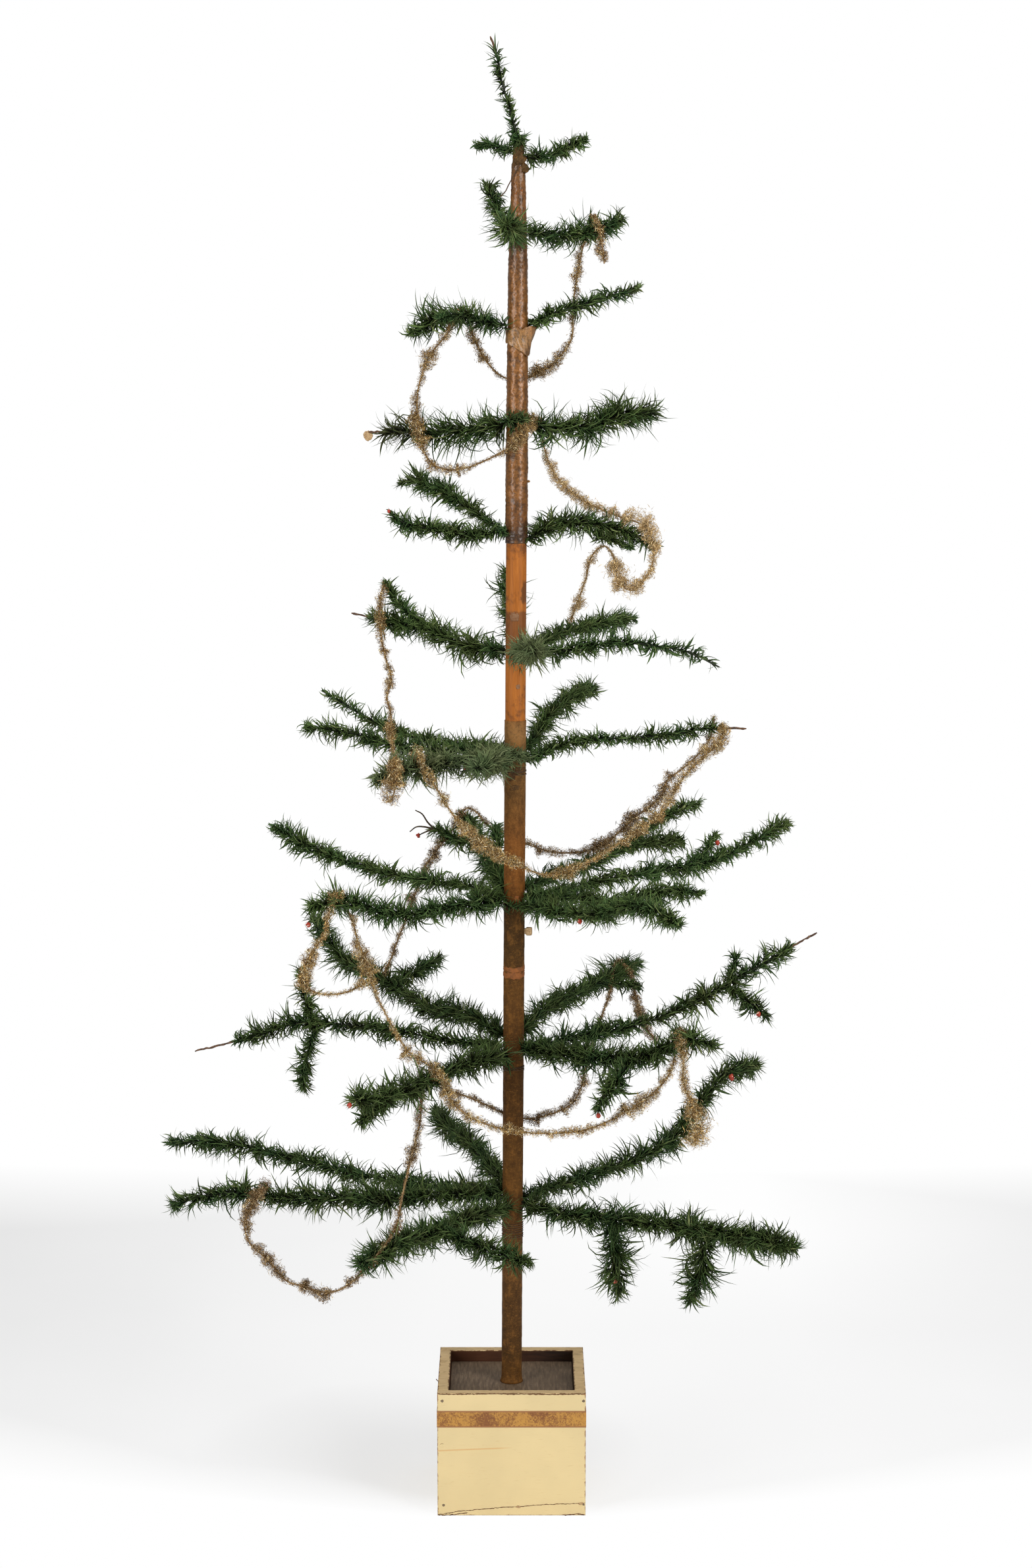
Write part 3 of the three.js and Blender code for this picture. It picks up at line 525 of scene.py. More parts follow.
def paint_material():
    n = Nodes("cream_paint")
    x, y, z = n.axes()
    grain = n.noise(26, 6, 0.6, (1, 1, 9))
    fine = n.noise(90, 5, 0.65, (1, 1, 7))
    colour = n.ramp(n.noise(14, 3), (0.35, srgb(221, 199, 149)), (0.65, srgb(229, 206, 154)))
    colour = n.mix(n.fade(grain, 0.56, 0.7) * 0.35, colour, srgb(224, 198, 146))
    colour = n.mix(n.fade(fine, 0.6, 0.72) * 0.4, colour, srgb(204, 172, 118))
    colour = n.patches(colour, srgb(150, 116, 74), 0.5, 0.7, 0.74, 420, 3, 0.7)
    # Bare brown wood shows at the box's upright edges, its rim and its foot
    from_side = BOX_HALF - n.most(abs(x), abs(y))
    corner = BOX_HALF - n.least(abs(x), abs(y))
    edge = n.least(n.most(corner, from_side), z)
    edge = n.least(edge, n.most(abs(BOX_RIM - z), from_side))
    ragged = n.fade(n.noise(150, 5, 0.7), 0.4, 0.8) * (2.6 * MM)
    brown = n.ramp(n.noise(300, 3), (0.35, srgb(118, 78, 46)), (0.65, srgb(176, 134, 86)))
    colour = n.mix(n.fade(ragged - edge, 0.0, 0.6 * MM), colour, brown)
    # The rim's upper face is bare grey wood with brown worn edges, its fibres across the front
    top = n.fade(n.read("ShaderNodeSeparateXYZ", 2, Vector=n.read("ShaderNodeNewGeometry", "Normal")), 0.25, 0.5)
    fibres = n.noise(60, 6, 0.7, (1, 12, 1))
    wood = n.ramp(fibres, (0.3, srgb(184, 150, 104)), (0.5, srgb(218, 186, 136)), (0.7, srgb(234, 206, 158)))
    wood = n.patches(wood, srgb(166, 130, 88), 0.5, 0.56, 0.7, 90, 4)
    lip = n.least(from_side, BOARD - from_side)
    nibbled = n.fade(n.noise(140, 5, 0.75), 0.42, 0.75) * (3.4 * MM)
    wood = n.mix(n.fade(nibbled - lip, 0.0, 0.5 * MM), wood, srgb(112, 74, 44))
    colour = n.mix(top * 0.92, colour, wood)
    # The inner faces are dark, with a warmer stain at the left
    inner = n.fade(from_side, BOARD - 0.3 * MM, BOARD - 0.05 * MM)
    dark = n.ramp(n.noise(40, 5, 0.6, (1, 1, 6)), (0.35, srgb(38, 20, 8)), (0.7, srgb(70, 42, 22)))
    dark = n.mix(n.fade(x, 0.04, -0.06) * 0.6, dark, srgb(92, 48, 20))
    colour = n.mix(inner * (1.0 - top), colour, dark)
    # A faint orange streak crosses the left half of the front
    off_line = abs(z - 72.75 * MM - x * 0.042)
    streak = n.fade(off_line, 1.1 * MM, 0.2 * MM) * n.fade(x, 2 * MM, -14 * MM) * n.fade(y, -70 * MM, FRONT + 0.2 * MM)
    colour = n.mix(streak * 0.6, colour, srgb(212, 156, 92))
    n.bump(grain + fine * 0.6, 0.22, 0.0005)
    return n.finish(colour, n.fade(grain, -1.6, 1.8), Specular_IOR_Level=0.35)


def stained_material():
    n = Nodes("stained_board")
    grain = n.noise(60, 6, 0.6, (7, 0.8, 1))
    colour = n.ramp(grain, (0.3, srgb(84, 66, 48)), (0.55, srgb(118, 98, 76)), (0.75, srgb(148, 126, 102)))
    colour = n.patches(colour, srgb(92, 74, 52), 0.5, 0.4, 0.66, 22, 3)
    colour = n.patches(colour, srgb(156, 140, 120), 0.35, 0.6, 0.75, 220, 4)
    n.bump(grain, 0.5, 0.0006)
    return n.finish(colour, 0.62)


def band_material():
    n = Nodes("border_paper")
    curls = n.noise(620, 3, 0.8)
    gilt = n.fade(curls + (n.noise(30, 3, 0.6) - 0.48) * 0.9, 0.42, 0.6)
    colour = n.mix(gilt, srgb(130, 80, 38), srgb(190, 138, 58))
    colour = n.patches(colour, srgb(122, 74, 38), 0.6, 0.58, 0.7, 120, 4)
    # Plain brown lines run along both edges of the strip
    _, _, z = n.axes()
    low, high = BAND_EDGES
    edge = n.least(z - low, high - z) - n.noise(200, 4) * (1.6 * MM)
    colour = n.mix(n.fade(edge, 0.9 * MM, 0.2 * MM), colour, srgb(154, 104, 62))
    n.bump(curls, 0.3, 0.0002)
    return n.finish(colour, n.fade(gilt, 2.0, -1.4))


def dowel_material():
    n = Nodes("bare_dowel")
    grain = n.noise(60, 6, 0.6, (9, 9, 0.6))
    colour = n.ramp(grain, (0.3, srgb(156, 89, 29)), (0.52, srgb(172, 101, 37)), (0.72, srgb(186, 113, 44)))
    colour = n.patches(colour, srgb(104, 62, 32), 0.75, 0.54, 0.62, 24, 5, 0.75)
    # Remains of paper at the sixth tier, and a dark stain above them at the right
    x, _, z = n.axes()
    ragged = n.noise(120, 5, 0.7) * (14 * MM)
    level = z + ragged
    colour = n.mix(n.fade(level, 0.881, 0.884) * n.fade(level, 0.935, 0.933) * 0.6, colour, srgb(92, 58, 34))
    stain = n.fade(level, 0.941, 0.944) * n.fade(level, 0.966, 0.96) * n.fade(x + ragged, 16.5 * MM, 17.5 * MM)
    colour = n.mix(stain * 0.7, colour, srgb(74, 48, 28))
    n.bump(grain, 0.4, 0.0006)
    return n.finish(colour, n.fade(grain, -1.0, 2.0), Specular_IOR_Level=0.2)


def wrap_material(name, stops, bump, gloss=None, coat=0.0, crease_shading=1.0):
    """Wound paper. stops are its tones up the trunk, (height in metres, colour); gloss is where it shines."""
    n = Nodes(name)
    _, _, z = n.axes()
    low, high = stops[0][0], stops[-1][0]
    wander = (n.noise(30, 4, 0.6) - 0.5) * 0.03
    colour = n.ramp(n.fade(z + wander, low, high), *[((h - low) / (high - low), c) for h, c in stops])
    crease = n.noise(150, 6, 0.65, (1, 1, 0.55))
    crumple = n.noise(330, 5, 0.7, (1, 1, 1.6))
    fibre = n.noise(900, 4, 0.75)
    # Dark tones in the hollows of the crease and crumple noises are painted shade, and light tones on their ridges
    # painted light; both follow the bump. The fibre specks are the paper's own.
    for relief, start, end, share, tone in (
        (crease, 0.5, 0.38, 0.7 * crease_shading, srgb(54, 34, 15)), (crease, 0.53, 0.66, 0.45 * crease_shading, srgb(168, 112, 52)),
        (crumple, 0.48, 0.38, 0.5 * crease_shading, srgb(58, 37, 18)), (crumple, 0.55, 0.66, 0.4 * crease_shading, srgb(176, 119, 58)),
        (fibre, 0.56, 0.7, 0.25, srgb(190, 134, 72)),
    ):
        colour = n.mix(n.fade(relief, start, end) * share, colour, tone)
    roughness = 0.7
    if gloss:
        bottom, top = gloss
        shine = n.least(n.fade(z, bottom - 0.01, bottom + 0.01), n.fade(z, top + 0.004, top - 0.012))
        roughness = 0.7 - shine * 0.46
    n.bump(crease + crumple * 0.8 + fibre * 0.2, bump, 0.0012)
    return n.finish(
        colour, roughness, Specular_IOR_Level=0.3 if coat else 0.12, Metallic=0.35 * coat,
        Coat_Weight=0.5 * coat, Coat_Roughness=0.3, Coat_IOR=1.75, Coat_Tint=(1, 0.84, 0.66, 1),
    )


def bead_material():
    n = Nodes("red_bead")
    tone = n.ramp(n.noise(500, 2), (0.3, srgb(134, 28, 14)), (0.7, srgb(186, 62, 34)))
    return n.finish(n.patches(tone, srgb(226, 204, 178), 1.0, 0.6, 0.66, 260, 2), 0.45)


def plain_material(name, dark, light, scale, roughness, metal=0.0):
    n = Nodes(name)
    spots = n.noise(scale, 4, 0.65)
    n.bump(spots, 0.5, 0.0004)
    return n.finish(n.ramp(spots, (0.35, dark), (0.68, light)), roughness, Metallic=metal)


GREEN = feather_material("feather", srgb(20, 21, 6), srgb(53, 75, 29), srgb(104, 128, 70), srgb(156, 162, 108))
# A paler grey-green copy of the feather, for three branches at the front
GREY_GREEN = feather_material("feather_grey_green", srgb(36, 42, 20), srgb(84, 98, 56), srgb(134, 146, 100), srgb(180, 184, 142))
GOLD = tinsel_material("tinsel_foil", srgb(104, 76, 38), srgb(210, 172, 104), srgb(255, 244, 204))
DULL = tinsel_material("tinsel_foil_upper", srgb(90, 62, 28), srgb(184, 146, 84), srgb(250, 230, 180), 0.42)
BROWN = tinsel_material("tinsel_foil_back", srgb(84, 60, 34), srgb(156, 122, 74), srgb(236, 212, 164))
WIRE = wire_material()
THREAD = core_material()
PAINT = paint_material()
STAINED = stained_material()
BAND = band_material()
DOWEL = dowel_material()
# The dark band just below the second tier (1.295) and the dark foot just below the fifth tier (0.994 to 1.006) are
# painted shade under the branches
GLOSSY_WRAP = wrap_material(
    "glossy_wrap",
    (
        (0.994, srgb(48, 28, 12)), (1.006, srgb(62, 38, 17)), (1.018, srgb(112, 70, 26)), (1.04, srgb(132, 86, 32)),
        (1.08, srgb(128, 84, 32)), (1.2, srgb(134, 87, 31)), (1.26, srgb(124, 81, 32)), (1.295, srgb(76, 48, 21)),
        (1.31, srgb(124, 78, 32)), (1.35, srgb(136, 90, 40)), (1.372, srgb(104, 75, 38)),
    ),
    0.5, (1.045, 1.29), 0.9,
)
# The dark stretch just below the eighth tier (0.575 to 0.62) is painted shade under its branches; this wrap has less
# painted crease shade and ridge light
MATTE_WRAP = wrap_material(
    "matte_wrap",
    (
        (0.12, srgb(104, 68, 28)), (0.15, srgb(82, 55, 25)), (0.25, srgb(84, 56, 27)), (0.29, srgb(96, 64, 31)),
        (0.33, srgb(104, 69, 30)), (0.42, srgb(86, 56, 24)), (0.49, srgb(90, 58, 24)), (0.545, srgb(100, 66, 28)),
        (0.575, srgb(76, 52, 22)), (0.62, srgb(74, 50, 21)), (0.64, srgb(130, 80, 33)), (0.69, srgb(126, 78, 34)),
        (0.74, srgb(114, 79, 40)), (0.785, srgb(118, 84, 45)), (0.805, srgb(148, 108, 64)), (0.816, srgb(136, 94, 52)),
    ),
    0.5, crease_shading=0.6,
)
KNOB = wrap_material("knob_paper", ((1.35, srgb(84, 62, 38)), (1.4, srgb(96, 76, 48))), 0.6)
PALE_PAPER = wrap_material("pale_paper", ((0.7, srgb(176, 138, 94)), (1.3, srgb(172, 132, 88))), 0.6, (1.1, 1.3))
COLLAR_PAPER = wrap_material(
    "collar_paper", ((1.18, srgb(136, 94, 50)), (1.2, srgb(164, 126, 78)), (1.22, srgb(150, 108, 60))),
    0.7, (1.0, 1.4), 1.0,
)
GREY_PATCH = plain_material("grey_patch", srgb(122, 78, 42), srgb(146, 110, 78), 420, 0.75)
ORANGE_PATCH = plain_material("orange_patch", srgb(118, 68, 22), srgb(160, 92, 32), 260, 0.7)
BINDING_WIRE = plain_material("binding_wire", srgb(50, 34, 20), srgb(98, 68, 40), 800, 0.6)
BEAD = bead_material()
RUST = plain_material("rusty_nail", srgb(96, 78, 60), srgb(158, 138, 110), 900, 0.6, 0.3)
CRACK = plain_material("dark_crack", srgb(72, 44, 24), srgb(124, 82, 48), 700, 0.9)
STUB = plain_material("pale_stub", srgb(150, 116, 78), srgb(204, 174, 130), 500, 0.8)


# Tinsel: the solids' routes, in millimetres, with how far the foil stands out along each
tinsel_routes = {
    "tinsel_upper": [
        [92, -24, 1274], [90, -23, 1292], [86, -15, 1313], [82, 0, 1320], [77, 13, 1309], [71, 21, 1288],
        [66, 25, 1262], [62, 27, 1234], [60, 27, 1198], [42, 24, 1176], [20, 19, 1162], [-6, 17, 1161],
        [-24, 16, 1176], [-38, 14, 1202], [-46, 7, 1227], [-51, -7, 1229], [-56, -20, 1226], [-64, -27, 1206],
        [-82, -27, 1182], [-92, -26, 1154], [-94, -24, 1130], [-92, -24, 1104], [-82, -26, 1080], [-66, -24, 1071],
        [-44, -22, 1073], [-14, -22, 1086], [11, -20, 1103], [23, -2, 1122], [31, 14, 1100], [38, 16, 1076],
        [54, 12, 1052], [79, 6, 1035], [108, -2, 1023], [134, -11, 1013], [143, -26, 989], [137, -28, 967],
        [122, -25, 950], [107, -18, 959], [105, 2, 978], [94, 16, 992], [82, 22, 982], [76, 38, 957], [61, 59, 911],
    ],
    "tinsel_left": [
        [-129, 49, 955], [-134, 34, 939], [-134, 28, 917], [-132, 24, 893], [-127, 16, 873], [-122, 2, 858],
        [-126, -18, 842], [-121, -42, 827], [-120, -68, 813], [-117, -98, 800], [-115, -124, 791],
        [-111, -154, 784], [-113, -158, 768], [-117, -155, 755],
    ],
    "tinsel_middle": [
        [-95, -91, 797], [-88, -114, 785], [-76, -112, 766], [-61, -107, 740], [-39, -102, 712], [-19, -98, 696],
        [5, -92, 683], [33, -85, 671], [58, -79, 673], [88, -72, 688], [115, -66, 704], [140, -60, 720],
        [157, -57, 738], [175, -53, 768], [199, -48, 790], [211, -41, 801], [213, -22, 815],
    ],
    "tinsel_behind": [
        [205, -18, 822], [200, 4, 792], [178, 10, 767], [160, 14, 752], [153, 22, 733], [138, 32, 719],
        [122, 44, 704], [102, 58, 683], [78, 72, 669], [48, 88, 665], [20, 102, 670], [-4, 114, 679],
        [-28, 126, 690], [-37, 131, 701], [-47, 134, 705], [-56, 130, 698], [-64, 122, 682], [-80, 106, 663],
        [-92, 86, 648], [-99, 74, 629], [-108, 84, 603], [-119, 103, 573], [-128, 118, 547], [-137, 134, 524],
    ],
    "tinsel_front": [
        [-143, -136, 572], [-163, -136, 562], [-188, -134, 560], [-203, -134, 568], [-205, -134, 584],
        [-196, -134, 603], [-184, -136, 620], [-180, -136, 639], [-171, -117, 658], [-158, -105, 627],
        [-151, -104, 602], [-142, -106, 582], [-138, -108, 562], [-122, -112, 529], [-103, -119, 499],
        [-82, -115, 483], [-69, -124, 474], [-62, -127, 453], [-44, -127, 436], [-24, -127, 426], [13, -127, 418],
        [58, -127, 418], [84, -127, 424], [109, -127, 436], [132, -126, 451], [149, -124, 465], [160, -122, 483],
        [163, -124, 505], [165, -132, 519], [167, -143, 523], [168, -154, 516], [169, -161, 500], [169, -161, 477],
        [177, -158, 457], [182, -154, 435], [182, -152, 411],
    ],
    "tinsel_cross": [
        [-74, -91, 480], [-65, -66, 447], [-46, -42, 434], [-26, -14, 418], [-12, 10, 405], [4, 20, 397],
        [22, 22, 395], [44, 24, 400], [62, 26, 409], [72, 28, 425], [77, 34, 445], [83, 50, 464], [91, 76, 480],
        [99, 108, 494], [106, 140, 506], [115, 180, 530], [128, 177, 517], [133, 156, 502], [136, 134, 488],
        [144, 108, 471], [154, 96, 460],
    ],
    "tinsel_lower": [
        [-89, -112, 479], [-90, -114, 449], [-91, -119, 428], [-96, -133, 409], [-102, -152, 386],
        [-108, -172, 362], [-112, -190, 342], [-116, -206, 336], [-127, -234, 328], [-138, -243, 315],
        [-150, -240, 302], [-165, -230, 288], [-183, -216, 281], [-204, -200, 282], [-221, -189, 284],
        [-233, -180, 294], [-246, -172, 305], [-259, -164, 315], [-265, -150, 330], [-260, -130, 342],
        [-251, -112, 352], [-248, -91, 355],
    ],
}

# Where the foil is matted: (share of the way along, how far it stands out in millimetres)
foil_spread_shares = {
    "tinsel_upper": [
        (0, 7), (0.05, 3), (0.1, 6), (0.13, 7), (0.17, 2.5), (0.185, 6), (0.195, 8), (0.215, 8.5), (0.232, 6.5),
        (0.248, 4), (0.262, 3), (0.27, 5), (0.3, 5.5), (0.312, 4), (0.322, 2), (0.336, 1.5), (0.355, 2.5),
        (0.37, 6), (0.395, 8), (0.41, 4.5), (0.43, 3.5), (0.442, 7), (0.455, 9.5), (0.475, 9), (0.484, 4),
        (0.489, 3.5), (0.498, 6.5), (0.51, 7.5), (0.525, 7), (0.535, 3), (0.56, 2.5), (0.575, 8), (0.6, 9),
        (0.62, 4), (0.645, 2.5), (0.66, 5), (0.69, 7), (0.725, 7), (0.745, 5), (0.765, 11), (0.79, 12),
        (0.815, 4.5), (0.85, 9), (0.875, 9), (0.893, 4), (0.905, 2), (0.918, 3), (0.93, 5), (0.945, 3),
        (0.955, 2.5), (0.975, 6), (1, 7),
    ],
    "tinsel_left": [(0, 5), (0.2, 5), (0.35, 6), (0.45, 3), (0.6, 5), (0.8, 4), (0.9, 9), (1, 10)],
    "tinsel_middle": [
        (0, 6), (0.1, 6), (0.17, 4), (0.19, 2.8), (0.22, 7), (0.28, 9), (0.34, 8), (0.37, 4.5), (0.4, 3.5),
        (0.42, 2.5), (0.45, 5.5), (0.5, 6), (0.55, 4), (0.6, 4.5), (0.7, 7.5), (0.8, 7), (0.9, 8), (1, 6),
    ],
    "tinsel_behind": [
        (0, 4), (0.2, 7), (0.3, 8), (0.4, 5), (0.5, 6), (0.58, 4), (0.68, 6), (0.78, 7), (0.86, 3), (1, 5),
    ],
    "tinsel_front": [
        (0, 7), (0.02, 3.5), (0.05, 2.5), (0.065, 4), (0.08, 8.5), (0.1, 8.5), (0.12, 7), (0.135, 4), (0.155, 3),
        (0.175, 5), (0.2, 6.5), (0.215, 5), (0.24, 4), (0.262, 4), (0.275, 7.5), (0.295, 9.5), (0.315, 8.5),
        (0.33, 5), (0.345, 3), (0.38, 4), (0.41, 5.5), (0.44, 6.5), (0.465, 7.5), (0.5, 7), (0.53, 5), (0.6, 4.5),
        (0.68, 5), (0.705, 7), (0.725, 9.5), (0.75, 9.5), (0.77, 5), (0.79, 4.5), (0.815, 5.5), (0.84, 6.5),
        (0.87, 7), (0.9, 6), (0.915, 5), (0.935, 8), (0.96, 12), (1, 12),
    ],
    "tinsel_cross": [(0, 4), (0.15, 4), (0.3, 6), (0.45, 6), (0.55, 4), (0.7, 3), (0.85, 5), (1, 6)],
    "tinsel_lower": [
        (0, 5), (0.1, 6), (0.17, 7.5), (0.21, 5), (0.225, 2), (0.3, 2), (0.31, 5), (0.365, 5), (0.38, 2.5),
        (0.46, 2.5), (0.475, 6), (0.54, 6), (0.56, 2.5), (0.59, 3), (0.61, 8), (0.66, 8), (0.68, 3), (0.7, 6),
        (0.79, 7), (0.81, 2.5), (0.85, 6), (0.92, 8), (1, 6),
    ],
}
UPPER_STRETCHES = ("tinsel_upper", "tinsel_left")
BACK_STRETCHES = ("tinsel_behind", "tinsel_cross", "tinsel_lower")
THREAD_DIAMETER = 1.6 * MM
FOIL_PER_METRE = 31000


def foil(name, path, rng):
    """Crimped foil matted round the thread, finest and loosest at its outside."""
    shares, spreads = zip(*foil_spread_shares[name])
    knots = int(path.length / (7 * MM))
    clump_at = np.linspace(0, path.length, knots)
    clump = np.clip(1 + rng.normal(0, 0.24, knots), 0.5, 1.6)
    drift = rng.normal(0, 0.2, (knots, 3))
    trial = rng.random(int(FOIL_PER_METRE * path.length * 1.6)) * path.length
    thick = np.interp(trial / path.length, shares, spreads) * MM * np.interp(trial, clump_at, clump)
    keep = rng.random(len(trial)) < np.clip(thick / (9 * MM), 0.24, 1.1) ** 1.3
    s = trial[keep]
    n = len(s)
    spread = thick[keep]
    tangent = path.tangent(s)
    outward = outward_at(tangent, rng.random(n) * 2 * math.pi)
    wander = np.stack([np.interp(s, clump_at, drift[:, i]) for i in range(3)], axis=1) * spread[:, None]
    away = rng.random(n) ** 0.9 * np.where(rng.random(n) < 0.08, 1.35, 0.9)
    middle = path.at(s) + outward * (spread * away)[:, None] + wander
    axis = unit(rng.normal(0, 1, (n, 3)) + 0.35 * tangent)
    bend = unit(np.cross(axis, rng.normal(0, 1, (n, 3))))
    length = rng.uniform(3, 6.8, n) * MM * np.clip(spread / (7 * MM), 0.6, 1.2)
    return crimp_solids(middle, axis, bend, length, rng.uniform(0.3, 0.7, n) * MM)


def make_tinsel():
    for index, (name, route) in enumerate(tinsel_routes.items()):
        path = Path(np.array(route) * MM)
        curve = bpy.data.curves.new(name, "CURVE")
        curve.dimensions = "3D"
        curve.bevel_depth = THREAD_DIAMETER / 2
        curve.bevel_resolution = 2
        curve.use_fill_caps = True
        spline = curve.splines.new("POLY")
        fine = path.at(np.linspace(0, path.length, int(path.length / (4 * MM))))
        spline.points.add(len(fine) - 1)
        for point, place in zip(spline.points, fine):
            point.co = (*place, 1)
        curve.materials.append(THREAD)
        thread = add_object(f"thread_{name}", curve)
        rng = np.random.default_rng(100 + index)
        points, faces, cells = foil(name, path, rng)
        tone = BROWN if name in BACK_STRETCHES else DULL if name in UPPER_STRETCHES else GOLD
        matted = add_mesh(f"foil_{name}", points, faces, tone, False, cells=cells)
        for piece in (thread, matted):
            attach(piece, "trunk")
        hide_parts(name)


# Tiers: height and reach, in millimetres
tiers = {
    1: (1382, 70), 2: (1305, 106), 3: (1213, 126), 4: (1114, 150), 5: (1006, 142),
    6: (887, 210), 7: (783, 235), 8: (632, 290), 9: (476, 330), 10: (316, 384),
}

